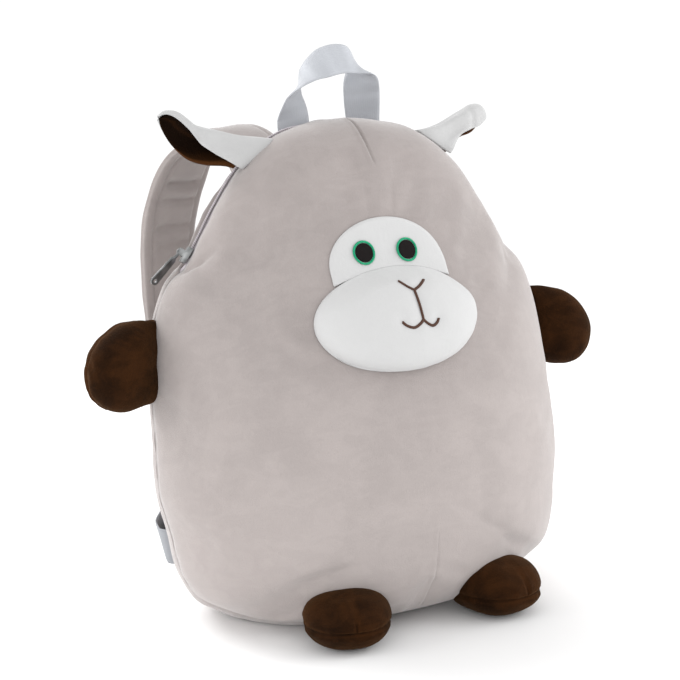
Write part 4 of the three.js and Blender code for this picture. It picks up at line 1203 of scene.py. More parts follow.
def zip_tape():
    """The woven tape in its slot, a little higher along the middle, where the chain is."""
    shares = np.linspace(-zip_end - TAPE_BEYOND_ZIP, zip_end + TAPE_BEYOND_ZIP, 280)
    behinds = np.linspace(SEAM_GAP, ZIP_SLOT - SEAM_GAP, 9)
    places = SEAM_GAP + (behinds - SEAM_GAP)[:, None] * slot_share(shares)
    lower = [-0.0004 * np.minimum(1, np.abs(behind - CHAIN_BEHIND) / 0.004) for behind in places]
    top = [zip_points(shares, behind, low) for behind, low in zip(places, lower)]
    bottom = [zip_points(shares, behind, -TAPE_THICKNESS) for behind in places[::-1]]
    along = lengths_along(top[4])
    uv = np.stack(np.meshgrid(np.concatenate([behinds, behinds[::-1]]), along), axis=-1)
    tape = skin("zip_tape_woven", np.stack(top + bottom, axis=1), uv=uv)
    dress(tape, cloth_of("tape"), ["zip_tape"])


def zip_teeth(pitch):
    """The chain's two rows of teeth, half a pitch apart."""
    shares = np.linspace(-zip_end, zip_end, 260)
    out = Seam(shares).out[2:]
    shifted = shares + 0.5 * pitch / seam_length
    near = zip_points(shares, CHAIN_BEHIND - CHAIN_HALF_GAP, CHAIN_RISE)[2:]
    far = zip_points(shifted, CHAIN_BEHIND + CHAIN_HALF_GAP, CHAIN_RISE)[2:]
    teeth = along_lines("zip_teeth", [near, far], [out, out], cloth_of("teeth"), pitch, TOOTH)
    dress(teeth, cloth_of("teeth"), ["zip_chain"])


class BACKPACK_OT_zip(bpy.types.Operator):
    """Makes the zip's tape and teeth, its slider and its pull"""

    bl_idname = "backpack.zip"
    bl_label = "Zip"

    def execute(self, context):
        zip_tape()
        zip_teeth(context.scene.backpack_sizes.tooth_pitch)
        slider = cast_copy("zip_slider_cast", "zip_slider", 0.00035)
        dress(slider, cloth_of("metal"), ["zip_slider"])
        pull = cast_copy("zip_pull_cast", "zip_pull", 0.0003, PULL_TWIST)
        dress(pull, cloth_of("metal"), ["zip_pull"], body="pull")
        return {"FINISHED"}


# Face

FACE_WIDTH, FACE_HEIGHT, FACE_MIDDLE = 0.085, 0.066, (0.0, 0.232)
BETWEEN_EYES = (0.0, 0.243)
FACE_EDGE = 0.0006
MUZZLE_WIDTH, MUZZLE_HEIGHT, MUZZLE_MIDDLE = 0.117, 0.064, (-0.0015, 0.201)
MUZZLE_PUFF = 0.022
MUZZLE_SLOPE = math.tan(math.radians(3))
EYE_DIAMETER, EYE_RING, EYE_SPACING, EYE_HEIGHT, EYES_SHIFT = 0.0155, 0.0017, 0.0314, 0.243, -0.0015
EYE_SIDES, EYE_CENTRE = 96, 0.0003
STITCH_THICKNESS = 0.0009
LINE_WIDTH = 0.0024
NOSE_HEIGHT, NOSE_AT, NOSE_TIPS = 0.219, 0.0029, ((-0.0047, 0.0059), (0.0134, 0.0054))
MOUTH_HEIGHT, MOUTH_AT, MOUTH_TIPS, MOUTH_SAG = 0.201, 0.0026, (-0.0122, 0.0138), 0.0042
MOUTH_ARC = ((0, 0), (0.18, 0.5), (0.52, 1), (0.85, 0.6), (1, 0.1))
MOUTH_PITCH, MOUTH_SLANT = 0.0006, math.radians(28)


def muzzle_radius(x, z):
    dx = x - MUZZLE_MIDDLE[0]
    dz = z - MUZZLE_MIDDLE[1] - dx * MUZZLE_SLOPE
    return np.hypot(2 * dx / MUZZLE_WIDTH, 2 * dz / MUZZLE_HEIGHT)


def muzzle_rise(reach, upward):
    """The muzzle's height over its edge. Towards the face it slopes gently, and elsewhere it rolls over."""
    steep = (1 - (1 - reach) ** 2.2) ** 0.5
    gentle = steep * (0.12 + 0.88 * ramp(reach, -0.04, 0.27))
    share = ramp(upward, 0.25, 0.8)
    return MUZZLE_PUFF * (steep * (1 - share) + gentle * share)


def mouth_lines():
    """The nose's and the mouth's strokes in x and z."""
    nose = (NOSE_AT, NOSE_HEIGHT)
    between = ((NOSE_AT + MOUTH_AT) / 2, (NOSE_HEIGHT + MOUTH_HEIGHT) / 2)
    strokes = [[nose, between, (MOUTH_AT, MOUTH_HEIGHT)]]
    for tip, rise in NOSE_TIPS:
        bend = ((NOSE_AT + tip) / 2, NOSE_HEIGHT + rise * 0.42)
        strokes.append([nose, bend, (tip, NOSE_HEIGHT + rise)])
    for tip in MOUTH_TIPS:
        reach = tip - MOUTH_AT
        strokes.append([(MOUTH_AT + reach * way, MOUTH_HEIGHT - MOUTH_SAG * sag) for way, sag in MOUTH_ARC])
    return [flat_line(stroke, 60)[:, [0, 2]] for stroke in strokes]


def mouth_press(x, z):
    """How far the embroidery draws the muzzle in."""
    flat = np.stack([x, z], axis=-1)
    gap = np.min([distance_to_line(flat, line)[0] for line in mouth_lines()], axis=0)
    return 0.0011 * hump(gap, 0.0042)


def muzzle_height(x, z):
    """Height of the muzzle's top over the front."""
    radius = muzzle_radius(x, z)
    reach = np.clip(1 - radius, 0, 1)
    upward = 2 * (z - MUZZLE_MIDDLE[1]) / MUZZLE_HEIGHT / np.maximum(radius, 0.25)
    return SEAT_GAP + FACE_THICKNESS + muzzle_rise(reach, upward) - mouth_press(x, z) * ramp(reach, 0.05, 0.2)


def star_layer(name, middle, boundary, heights, sides, rows):
    """A closed layer over the front from its outline. heights(x, z, reach) gives its bottom and its top."""
    middle = np.asarray(middle)
    reach = np.linspace(0, 1, rows)[:-1] ** 1.6
    edge = boundary(2 * np.pi * np.arange(sides) / sides)
    flat = middle + (edge - middle) * (1 - reach)[:, None, None]
    x, z = flat[..., 0], flat[..., 1]
    low, high = heights(x, z, np.broadcast_to(reach[:, None], x.shape))
    base = front_depth(x, z)
    top = np.stack([x, base - high, z], axis=-1)
    bottom = np.stack([x, base - low, z], axis=-1)
    return skin(name, np.concatenate([top[::-1], bottom]))


def muzzle_boundary(angle):
    """The muzzle's outline: an ellipse with fuller corners low down and a flatter upper right."""
    turn = np.degrees(angle)
    size = 1 - 0.045 * hump(turn - 62, 26) + 0.02 * hump(turn - 143, 24) + 0.022 * hump(turn - 222, 22)
    dx = np.sin(angle) * MUZZLE_WIDTH / 2 * size
    dz = np.cos(angle) * MUZZLE_HEIGHT / 2 * size
    return np.stack([MUZZLE_MIDDLE[0] + dx, MUZZLE_MIDDLE[1] + dx * MUZZLE_SLOPE + dz], axis=-1)


def face_radius(x, z):
    """1 on the face's outline: an arch whose sides run straight down to the muzzle."""
    above = np.maximum(0, z - FACE_MIDDLE[1])
    return np.hypot(2 * (x - 0.0006) / FACE_WIDTH, 2 * above / FACE_HEIGHT)


def face_boundary(angle):
    """The face's outline seen from between the eyes: its arch, cut by the muzzle."""
    way = np.stack([np.sin(angle), np.cos(angle)], axis=-1)
    low = np.zeros(len(angle))
    high = np.full(len(angle), 0.08)
    for _ in range(40):
        half = (low + high) / 2
        at = BETWEEN_EYES + way * half[:, None]
        inside = face_radius(at[:, 0], at[:, 1]) < 1
        dx, dz = at[:, 0] - MUZZLE_MIDDLE[0], at[:, 1] - MUZZLE_MIDDLE[1]
        turn = np.arctan2(dx / MUZZLE_WIDTH, (dz - dx * MUZZLE_SLOPE) / MUZZLE_HEIGHT) % (2 * np.pi)
        edge = muzzle_boundary(turn) - MUZZLE_MIDDLE
        inside &= np.hypot(dx, dz) > np.hypot(edge[:, 0], edge[:, 1]) + 0.0001
        low = np.where(inside, half, low)
        high = np.where(inside, high, half)
    return BETWEEN_EYES + way * low[:, None]


def face_heights(x, z, reach):
    """The face's cloth: flat below, and rounded down to a thin edge."""
    edge = ramp(np.clip((1 - face_radius(x, z)) / 0.06, 0, 1), 0.0, 1.0)
    top = SEAT_GAP + FACE_EDGE + (FACE_THICKNESS - FACE_EDGE) * np.sqrt(edge)
    top = top + 0.00025 * lumps(np.stack([x, z, 0 * x], axis=-1), 0.012, 11) * edge
    return np.full(x.shape, SEAT_GAP), top


def muzzle_heights(x, z, reach):
    """The muzzle, with small folds at its seam and a few dents."""
    flat = np.stack([x, z, 0 * x], axis=-1)
    pucker = lumps(flat, 0.008, 12) * np.exp(-reach / 0.12) * 0.0007 * ramp(reach, 0.0, 0.02)
    dents = lumps(flat, 0.024, 13) * 0.0007 * ramp(reach, 0.05, 0.4)
    return SEAT_GAP * 1.5 + 0.0012 * np.sqrt(reach), muzzle_height(x, z) + pucker + dents


def eye(side, sign):
    """A ring of thread round a pupil, both lying on the face's cloth."""
    low = 2 * SEAT_GAP + FACE_THICKNESS
    inner = EYE_DIAMETER / 2 - EYE_RING
    angle = 2 * np.pi * np.arange(EYE_SIDES) / EYE_SIDES

    def circle(radius, height):
        x = EYES_SHIFT + sign * EYE_SPACING / 2 + radius * np.sin(angle)
        z = EYE_HEIGHT + radius * np.cos(angle)
        return np.stack([x, front_depth(x, z) - height, z], axis=-1)

    radii = np.linspace(inner + SEAM_GAP, EYE_DIAMETER / 2, 9)
    arch = np.sin(np.linspace(0, np.pi, 9)) ** 0.6
    rings = [circle(r, low + STITCH_THICKNESS * (0.45 + 0.55 * a)) for r, a in zip(radii, arch)]
    rings += [circle(r, low) for r in (radii[-1], radii[0])]
    around = np.broadcast_to(angle * EYE_DIAMETER / 2, (len(rings), EYE_SIDES))
    ring = skin("eye_thread_" + side, rings, loop=True, uv=np.stack([around, 0 * around], axis=-1))
    dress(ring, cloth_of("ring"), ["eye_ring_" + side])

    radii = np.linspace(inner, EYE_CENTRE, 14)
    crown = np.sqrt(np.clip(1 - (radii / inner) ** 2, 0, 1))
    rings = [circle(EYE_CENTRE, low), circle(inner, low)]
    rings += [circle(r, low + STITCH_THICKNESS * (0.5 + 0.45 * c)) for r, c in zip(radii, crown)]
    pupil = skin("pupil_thread_" + side, rings, uv=np.stack(rings)[..., [2, 0]])
    dress(pupil, cloth_of("pupil"), ["pupil_" + side])


def mouth_stitches():
    """The nose and the mouth: a low ridge of satin stitches along each stroke, on the muzzle."""

    def surface(x, z):
        return front_depth(x, z) - muzzle_height(x, z)

    step = 0.0006
    lines = []
    outs = []
    for x, z in (stroke.T for stroke in mouth_lines()):
        lines.append(np.stack([x, surface(x, z) - STITCH_THICKNESS * 0.45, z], axis=-1))
        slope_x = (surface(x + step, z) - surface(x - step, z)) / (2 * step)
        slope_z = (surface(x, z + step) - surface(x, z - step)) / (2 * step)
        outs.append(unit(np.stack([slope_x, -np.ones_like(x), slope_z], axis=-1)))
    block = (0.0011, LINE_WIDTH * 1.12, STITCH_THICKNESS * 1.3)
    thread_used = cloth_of("mouth")
    stitches = along_lines("mouth_stitches", lines, outs, thread_used, MOUTH_PITCH, block, MOUTH_SLANT)
    dress(stitches, thread_used, ["nose_and_mouth"])


class BACKPACK_OT_face(bpy.types.Operator):
    """Makes the face's cloth, the stuffed muzzle, the eyes and the embroidered nose and mouth"""

    bl_idname = "backpack.face"
    bl_label = "Face"

    def execute(self, context):
        patch = star_layer("face_cloth", BETWEEN_EYES, face_boundary, face_heights, 200, 40)
        dress(patch, cloth_of("fleece"), ["face_patch"])
        muzzle = star_layer("muzzle_cushion", MUZZLE_MIDDLE, muzzle_boundary, muzzle_heights, 220, 56)
        dress(muzzle, cloth_of("fleece"), ["muzzle"])
        eye("left", -1)
        eye("right", 1)
        mouth_stitches()
        return {"FINISHED"}


# Limbs

ARM_LENGTH, ARM_HEIGHT, ARM_THICKNESS, ARM_CENTRE, ARM_LEAD = 0.054, 0.0565, 0.040, 0.180, 0.017
ARM_ROOT = 0.007
ARM = [
    (0, 0.94, 0.3, 0),
    (0.15, 0.96, 0.62, 0),
    (0.35, 1, 0.9, 0.01),
    (0.55, 0.98, 1, 0.03),
    (0.75, 0.84, 0.88, 0.06),
    (0.9, 0.58, 0.6, 0.08),
    (0.975, 0.3, 0.32, 0.09),
    (1, 0, 0, 0.09),
]
FOOT_LENGTH, FOOT_WIDTH, FOOT_HEIGHT, FOOT_SPACING, FOOT_SETBACK = 0.056, 0.0555, 0.036, 0.100, 0.056
FOOT_SPLAY = math.radians(13)
SOLE_SEAM_HEIGHT = 0.0148
FOOT = [
    (0, 0.66, 0.5, 0.16),
    (0.15, 0.86, 0.74, 0.04),
    (0.38, 0.98, 0.96, -0.01),
    (0.58, 1, 1, -0.01),
    (0.76, 0.88, 0.93, 0.03),
    (0.89, 0.66, 0.79, 0.12),
    (0.97, 0.38, 0.62, 0.25),
    (1, 0, 0.43, 0.43),
]
LIMB_SECTION = rounded_section(72, 2.3)


def limb_rows(table, count, least):
    """Smooth rows of a limb's table without its tip, none of them under the least values."""
    return np.maximum(spread(smooth_path(table), count), least)[:-1]


def swell(rings, sewn):
    """The folds of a stuffed limb between its seams."""
    rows = np.arange(0, len(rings), 2)
    columns = np.arange(rings.shape[1]) / rings.shape[1]
    moved = settled(rings[::2, ::2], sewn[::2, ::2], rings.mean((0, 1)), 3.0, 0.03, 0.5)
    folds = wrinkles(moved, 8, 0.0014, 0.15)
    return blurred(resampled(folds, rows, columns[::2], np.arange(len(rings)), columns), 2)


def stuffed(name, rings, push, tone, node):
    """A limb in brown plush whose cloth is pushed out from its rings. It does not reach under the floor."""
    points = rings + grid_normals(rings, rings.mean((0, 1))) * push[..., None]
    points[..., 2] = np.maximum(points[..., 2], 0.0)
    dress(skin(name, points, tone=tone), cloth_of("brown"), [node])


def arm(side, sign, tilt, sizes):
    """A stuffed arm, tilted up by some degrees, with a seam round it."""
    root = Seam([sign * share_at_height(ARM_CENTRE)]).at[0]
    angle = math.radians(tilt)
    axis = np.array([sign * math.cos(angle), 0, math.sin(angle)])
    up = np.array([-sign * math.sin(angle), 0, math.cos(angle)])
    start = np.array([root[0] - sign * ARM_ROOT, root[1], ARM_CENTRE])
    rows = limb_rows(ARM, 46, 0)
    rings = []
    for along, height, depth, drop in rows:
        ring = start + axis * along * ARM_LENGTH
        ring = ring + up * ((LIMB_SECTION[:, 1:] * height / 2 - drop) * ARM_HEIGHT)
        ring[:, 1] += LIMB_SECTION[:, 0] * depth * ARM_THICKNESS / 2 - along * ARM_LEAD
        rings.append(ring)
    rings = np.array(rings)
    seam_line = np.abs(LIMB_SECTION[:, 0]) * rows[:, 2:3] * ARM_THICKNESS / 2
    sewn = hump(seam_line, 0.003)
    sewn[:2] = 1
    push = sizes.fold_height * swell(rings, sewn) - 0.0011 * hump(seam_line, 0.0016)
    push += sizes.pucker * lumps(rings, 0.009, 21 + sign) * np.exp(-seam_line / 0.006)
    push += 0.0006 * lumps(rings, 0.022, 23 + sign)
    # Painted highlight beside the seam and painted shade in its groove.
    tone = 0.5 * hump(seam_line - 0.0016, 0.0009) - 0.6 * hump(seam_line, 0.0007)
    stuffed("plush_arm_" + side, rings, push, tone, "arm_" + side)


def foot(side, sign, painted_sole_shade, sizes):
    """A stuffed foot, with a seam round its sole and one along its top. painted_sole_shade is painted shade
    that darkens its sole.
    """
    axis = np.array([sign * math.sin(FOOT_SPLAY), -math.cos(FOOT_SPLAY), 0])
    across = np.array([math.cos(FOOT_SPLAY), sign * math.sin(FOOT_SPLAY), 0])
    start = np.array([sign * FOOT_SPACING / 2, -FOOT_SETBACK, 0])
    rings = []
    for along, width, top, bottom in limb_rows(FOOT, 52, (0, 0, -1, -1)):
        ring = start + axis * along * FOOT_LENGTH + across * (LIMB_SECTION[:, :1] * width * FOOT_WIDTH / 2)
        ring[:, 2] = (bottom + (top - bottom) * (LIMB_SECTION[:, 1] + 1) / 2) * FOOT_HEIGHT
        rings.append(ring)
    rings = np.array(rings)
    height = rings[..., 2]
    upper = height > 0.016
    top_seam = np.where(upper, np.abs((rings - start) @ across), 1.0)
    sole_seam = np.where(height > 0.006, np.abs(height - SOLE_SEAM_HEIGHT), 1.0)
    line = np.minimum(top_seam, sole_seam)
    sewn = hump(line, 0.003) * 0.8
    sewn[:2] = 1
    push = sizes.fold_height * swell(rings, sewn) + 0.0004 * hump(line - 0.0030, 0.0018)
    push -= 0.0013 * hump(line, 0.0013) * np.where(upper, 0.6, 1.0)
    push += sizes.pucker * lumps(rings, 0.009, 25 + sign) * np.exp(-line / 0.006)
    push += 0.0005 * lumps(rings, 0.022, 27 + sign)
    # Painted highlight beside the seams and painted shade in their grooves.
    tone = 0.5 * hump(line - 0.0013, 0.0006) - 0.7 * hump(line, 0.0006)
    # Painted shade on the sole, below its seam.
    tone -= painted_sole_shade * (1 - ramp(height, 0.012, SOLE_SEAM_HEIGHT))
    stuffed("plush_foot_" + side, rings, push, tone, "foot_" + side)


class BACKPACK_OT_limbs(bpy.types.Operator):
    """Makes the stuffed arms and feet"""

    bl_idname = "backpack.limbs"
    bl_label = "Arms and Feet"

    def execute(self, context):
        sizes = context.scene.backpack_sizes
        arm("left", -1, 1, sizes)
        arm("right", 1, -9, sizes)
        # The left foot's sole gets more painted shade than the right one's.
        foot("left", -1, 0.35, sizes)
        foot("right", 1, 0.05, sizes)
        return {"FINISHED"}


# Ears

EAR_LENGTH, EAR_WIDTH, EAR_FOLD, EAR_CENTRE = 0.065, 0.038, 0.022, 0.312
EAR_CLOTH, EAR_LINING = 0.0019, 0.0015
EAR_ROWS, EAR_STEPS = 60, 41
# Each row is the ridge, the front edge and the edge behind, as shares along, up and back.
EAR_LEFT = [
    ((-0.13, 0.28, 0.05), (0.14, -0.42, -0.16), (0.14, -0.37, 0.24)),
    ((0.12, 0.15, 0.09), (0.25, -0.40, -0.22), (0.24, -0.38, 0.3)),
    ((0.42, 0.07, 0.14), (0.43, -0.34, -0.26), (0.42, -0.45, 0.45)),
    ((0.6, 0.02, 0.17), (0.58, -0.23, -0.2), (0.6, -0.44, 0.56)),
    ((0.75, 0.07, 0.19), (0.73, -0.02, -0.06), (0.79, -0.29, 0.6)),
    ((0.88, 0.14, 0.22), (0.88, 0.12, 0.08), (0.93, -0.1, 0.52)),
    ((0.97, 0.12, 0.3), (0.955, 0.14, 0.22), (0.985, 0.0, 0.42)),
    ((1.0, 0.085, 0.33), (0.99, 0.11, 0.29), (1.0, 0.055, 0.37)),
]
EAR_RIGHT = [
    ((-0.13, 0.34, 0.05), (0.15, -0.30, -0.155), (0.15, -0.30, 0.244)),
    ((0.128, 0.20, 0.069), (0.264, -0.20, -0.189), (0.254, -0.22, 0.328)),
    ((0.43, 0.20, 0.059), (0.44, -0.12, -0.18), (0.43, -0.2, 0.551)),
    ((0.592, 0.22, 0.088), (0.59, -0.13, -0.122), (0.592, -0.18, 0.7)),
    ((0.72, 0.25, 0.132), (0.735, -0.13, -0.026), (0.753, -0.19, 0.75)),
    ((0.826, 0.21, 0.206), (0.86, -0.07, 0.082), (0.868, -0.12, 0.75)),
    ((0.88, 0.12, 0.30), (0.89, 0.0, 0.2), (0.89, -0.05, 0.6)),
    ((0.90, 0.05, 0.385), (0.90, 0.03, 0.33), (0.90, 0.0, 0.5)),
]


def ear_leaf(table, rows, steps):
    """An ear's middle surface, folded over its ridge, for the right-hand side."""
    root = Seam([share_at_height(EAR_CENTRE)]).at[0]
    axis = unit(np.array([0.92, 0.1, 0.335]))
    up = np.array([-0.415, 0.14, 0.9])
    up = unit(up - np.dot(up, axis) * axis)
    back = -np.cross(axis, up)
    shape = []
    for k in (1, 0, 2):
        line = np.array([row[k] for row in table]) * (EAR_LENGTH, EAR_WIDTH, EAR_FOLD)
        placed = root + line[:, :1] * axis + line[:, 1:2] * up + line[:, 2:] * back
        path = smooth_path(placed, per_span=80)
        shape.append(path[np.round(np.linspace(0, len(path) - 1, rows)).astype(int)])
    front, ridge, behind = shape
    middle = (front + behind) / 2
    half = behind - middle
    rise = ridge - middle
    straight = np.maximum(0, 1 - np.linalg.norm(half, axis=1) / np.linalg.norm(rise, axis=1))[:, None]
    turn = np.linspace(-1, 1, steps)[None]
    share = np.abs(turn)
    angle = np.minimum(1, 2 * share) * (np.pi / 2)
    height = np.where(share < 0.5, straight + (1 - straight) * np.cos(angle), straight * 2 * (1 - share))
    sideways = np.sign(turn) * np.sin(angle)
    leaf = middle[:, None] + half[:, None] * sideways[..., None] + rise[:, None] * height[..., None]
    return leaf, up


def ear(side, sign, table):
    """A folded ear of white cloth and its brown lining. The rows run from the root to the tip."""
    leaf, up = ear_leaf(table, EAR_ROWS, EAR_STEPS)
    along = np.gradient(leaf, axis=0)
    out = unit(np.cross(np.gradient(leaf, axis=1), along))
    if np.dot(out[20, 20], up) < 0:
        out = -out
    rows = np.arange(EAR_ROWS)[:, None]
    turn = np.linspace(-1, 1, EAR_STEPS)[None]
    leaf = leaf + (1 - ramp(rows, 2, 16))[..., None] * np.array([0, -0.0048, -0.0012])
    gathered = np.sin(turn * 13 + 1.1 * np.sin(turn * 5)) * hump(rows - 12, 9.0)
    wave = lumps(leaf, 0.016, 31) * 0.0007 + 0.0011 * gathered
    wave = wave - 0.0016 * hump(rows - 31 - 6 * turn, 3.0) * ramp(-turn, -0.2, 0.6)
    to_front = np.arange(EAR_STEPS)[None] + 0 * rows
    to_back = EAR_STEPS - 1 - to_front
    to_tip = EAR_ROWS - 1 - rows + 0 * to_back
    in_front = 1 - ramp(turn, -0.1, 0.25)

    def sheet(name, node, kind, low, top, near_edge, base, kept):
        """A sheet between two heights over the leaf, thinner at its edges. kept is its part of the leaf."""
        plump = np.sqrt(np.clip((near_edge + 0.4) / 3.0, 0.1, 1.0))
        middle = (low + top) / 2 + wave
        thick = (top - low) / 2 * plump
        outer = (base + out * (middle + thick)[..., None])[kept]
        inner = (base + out * (middle - thick)[..., None])[kept]
        spot = np.stack(np.broadcast_arrays(turn, rows / (EAR_ROWS - 1)), axis=-1)[kept]
        rings = np.concatenate([outer, inner[:, ::-1]], axis=1)
        uv = np.concatenate([spot, spot[:, ::-1]], axis=1)
        piece = skin(name + side, rings * (sign, 1, 1), uv=uv)
        dress(piece, cloth_of(kind), [node + side])

    longer = 0.0026 * np.exp(-(to_tip - 2) / 1.3) * in_front
    base = leaf + unit(along[-3]) * longer[..., None]
    near_edge = np.minimum(to_front, np.minimum(to_back, to_tip) - 2)
    kept = (slice(0, 58), slice(0, 39))
    sheet("ear_cloth_", "ear_", "ear", 0.0, EAR_CLOTH, near_edge, base, kept)
    hem = np.exp(-np.minimum(to_back, to_tip) / 0.8) * (1 - in_front * (to_back > 6))
    top = -SEAT_GAP + (EAR_CLOTH * 0.9 + SEAT_GAP) * hem
    near_edge = np.minimum(to_front - 1, np.minimum(to_back, to_tip) + 1)
    kept = (slice(4, 59), slice(1, 41))
    low = -SEAT_GAP - EAR_LINING
    sheet("ear_inside_", "ear_lining_", "lining", low, top, near_edge, leaf, kept)


class BACKPACK_OT_ears(bpy.types.Operator):
    """Makes the folded ears and their linings"""

    bl_idname = "backpack.ears"
    bl_label = "Ears"

    def execute(self, context):
        ear("left", -1, EAR_LEFT)
        ear("right", 1, EAR_RIGHT)
        return {"FINISHED"}


# Carrying parts

WEBBING_WIDTH, WEBBING_THICKNESS = 0.025, 0.0017
STRAP_WIDTH, STRAP_THICKNESS = 0.052, 0.010
ADJUSTER = (0.020, 0.034, 0.007)
HANDLE_SPACING, HANDLE_RISE, HANDLE_SETBACK = 53, 45, 22
HANDLE = [
    (-1, -0.22, 0, (1, 0, 0)),
    (-1.06, 0.12, 0.03, (1, 0.15, 0)),
    (-1.08, 0.44, 0.15, (0.7, 0.7, 0)),
    (-0.86, 0.73, 0.3, (0.15, 0.86, 0.45)),
    (-0.39, 0.92, 0.4, (-0.02, 0.62, 0.82)),
    (0.2, 0.97, 0.42, (-0.08, 0.58, 0.86)),
    (0.65, 0.84, 0.36, (-0.38, 0.64, 0.68)),
    (0.80, 0.5, 0.2, (-0.85, 0.4, 0.1)),
    (0.94, 0.12, 0.04, (-1, 0.1, 0)),
    (0.97, -0.22, 0, (-1, 0, 0)),
]
STRAP_ROUTE = [
    ((-34, 46, 286), (1, 0, 0)),
    ((-36, 74, 314), (1, 0.05, 0)),
    ((-46, 99, 327), (0.97, 0.2, 0.1)),
    ((-63, 117, 316), (0.9, 0.38, 0.25)),
    ((-76, 126, 292), (0.9, 0.42, 0.1)),
    ((-85, 130, 257), (0.9, 0.43, 0)),
    ((-87, 130, 215), (0.9, 0.43, 0)),
    ((-87, 124, 170), (0.9, 0.43, 0)),
    ((-86, 112, 128), (0.9, 0.43, 0)),
]
# The place of each fold along the strap, its depth and its width.
STRAP_FOLDS = [
    (0.1255, 0.0041, 0.0036),
    (0.1390, 0.0031, 0.0030),
    (0.1585, 0.0033, 0.0034),
    (0.173, 0.0021, 0.0032),
]
STRAP_SECTION = rounded_section(64, 3.4)
STRAP_SEAM_INSET = 0.0065
STRAP_STITCH = (0.0023, 0.0006, 0.0005)
ADJUSTER_ROUNDING = 0.0012
WEBBING_LEAD = 0.004
WEBBING_ROUTE = [
    ((-93, 88, 85), (0.84, 0.34, -0.42)),
    ((-106, 75, 69), (0.75, 0.22, -0.62)),
    ((-120, 62, 57), (0.6, 0.08, -0.8)),
    ((-131, 49, 51.5), (0.35, 0, -0.94)),
    ((-135, 38, 50.5), (0.2, 0, -0.97)),
    ((-135, 31, 49.5), (0.2, 0, -0.97)),
    ((-128, 26, 49), (0.2, 0, -0.97)),
    ((-116, 24, 49), (0.2, 0, -0.97)),
]


def flat_band(name, places, turns, width, thickness, sag=0.0):
    """Webbing along stations, with a UV map across and along it in metres. sag makes it a little uneven."""
    _, across, out = band_frames(places, turns)
    uneven = sag * lumps(places, 0.009, 51) * hump(np.linspace(-1, 1, len(places)), 0.6)
    places = places + out * uneven[:, None]
    steps = np.linspace(-0.5, 0.5, 15)
    edge = np.sqrt(np.clip(1 - (np.abs(steps) * 2) ** 10, 0.12, 1))
    top = places[:, None] + across[:, None] * (steps * width)[None, :, None]
    half = (thickness / 2 * edge)[None, :, None]
    rings = np.concatenate([top + out[:, None] * half, (top - out[:, None] * half)[:, ::-1]], axis=1)
    far = lengths_along(places)
    sideways = np.concatenate([steps, steps[::-1]]) * width + width / 2
    uv = np.stack(np.meshgrid(sideways, far), axis=-1)
    return skin(name, rings, uv=uv)


def strap_folds(far):
    """How the padding is pressed in where the strap bends: grooves, each with a swelling beside it."""
    total = 0.0
    for place, depth, width in STRAP_FOLDS:
        beside = hump(far - place - 1.8 * width, width)
        total = total + 0.2 * depth * beside - depth * hump(far - place, width)
    return total


def handle():
    """The webbing loop on top, sewn in at both ends."""
    crown = HEIGHT * 1000 - 3
    rows = [
        ((a * HANDLE_SPACING / 2, HANDLE_SETBACK - lean * HANDLE_RISE, crown + rise * HANDLE_RISE), width)
        for a, rise, lean, width in HANDLE
    ]
    places, turns = route(rows, 150)
    piece = flat_band("handle_webbing", places, turns, WEBBING_WIDTH, WEBBING_THICKNESS, 0.0009)
    dress(piece, cloth_of("webbing"), ["handle"])


def strap_stitches(side, rings, out, pitch):
    """The sewn lines along both edges of a strap, over it and under it."""
    wide, thick = STRAP_SECTION.T
    near = np.abs(np.abs(wide) - 1 + STRAP_SEAM_INSET / (STRAP_WIDTH / 2))
    lines = []
    outs = []
    for edge in (-1, 1):
        for face in (-1, 1):
            here = (np.abs(thick) > 0.5) & (wide * edge > 0) & (thick * face > 0)
            k = np.argmin(np.where(here, near, 9))
            lines.append(rings[3:-3, k] + out[3:-3] * (0.0002 * face))
            outs.append(out[3:-3] * face)
    stitches = along_lines("strap_stitches_" + side, lines, outs, cloth_of("seam"), pitch, STRAP_STITCH)
    dress(stitches, cloth_of("seam"))


def padded_strap(side, places, across, out, pitch):
    """A shoulder strap, drawn in along its seams and pressed into folds where it bends."""
    wide, thick = STRAP_SECTION.T
    sideways, outwards = across[:, None], out[:, None]
    far = lengths_along(places)
    rings = places[:, None] + sideways * (wide * STRAP_WIDTH / 2)[:, None]
    rings = rings + outwards * (thick * STRAP_THICKNESS / 2)[:, None]
    direction = unit(sideways * wide[:, None] * 0.35 + outwards * thick[:, None])
    lip = hump(np.abs(thick) * STRAP_THICKNESS / 2, 0.0011) * (np.abs(wide) > 0.8)
    seam_line = hump((1 - np.abs(wide)) * STRAP_WIDTH / 2 - STRAP_SEAM_INSET, 0.0012) * (np.abs(thick) > 0.5)
    push = 0.0004 * lumps(rings, 0.02, 41) - 0.0013 * seam_line - 0.0008 * lip
    ends = ramp(np.minimum(far, far[-1] - far), 0.0, 0.006)[:, None]
    rings = rings + direction * (push * ends)[..., None]
    crease = strap_folds(far[:, None] + 0.005 * wide + 0.002 * lumps(rings, 0.03, 43))
    crease = crease * ramp(1 - np.abs(wide), 0.22, 0.55) * np.sign(thick) * ends
    rings = rings + outwards * crease[..., None]
    strap = skin("padded_strap_" + side, rings)
    dress(strap, cloth_of("plush"), ["strap_" + side])
    strap_stitches(side, rings, out, pitch)


def skin_box(name, start, end, across, width, thickness):
    """A bar with rounded edges from its start to its end."""
    section = rounded_section(32, 8.0)
    total = np.linalg.norm(end - start)
    along = (end - start) / total
    across = unit(across - np.dot(across, along) * along)
    out = np.cross(along, across)
    rings = []
    for place in np.linspace(0, 1, 13):
        less = ADJUSTER_ROUNDING * math.exp(-min(place, 1 - place) * total / 0.0007)
        sideways = across * (section[:, :1] * (width / 2 - less))
        outwards = out * (section[:, 1:] * (thickness / 2 - less))
        rings.append(start + along * total * place + sideways + outwards)
    return skin(name, np.array(rings))


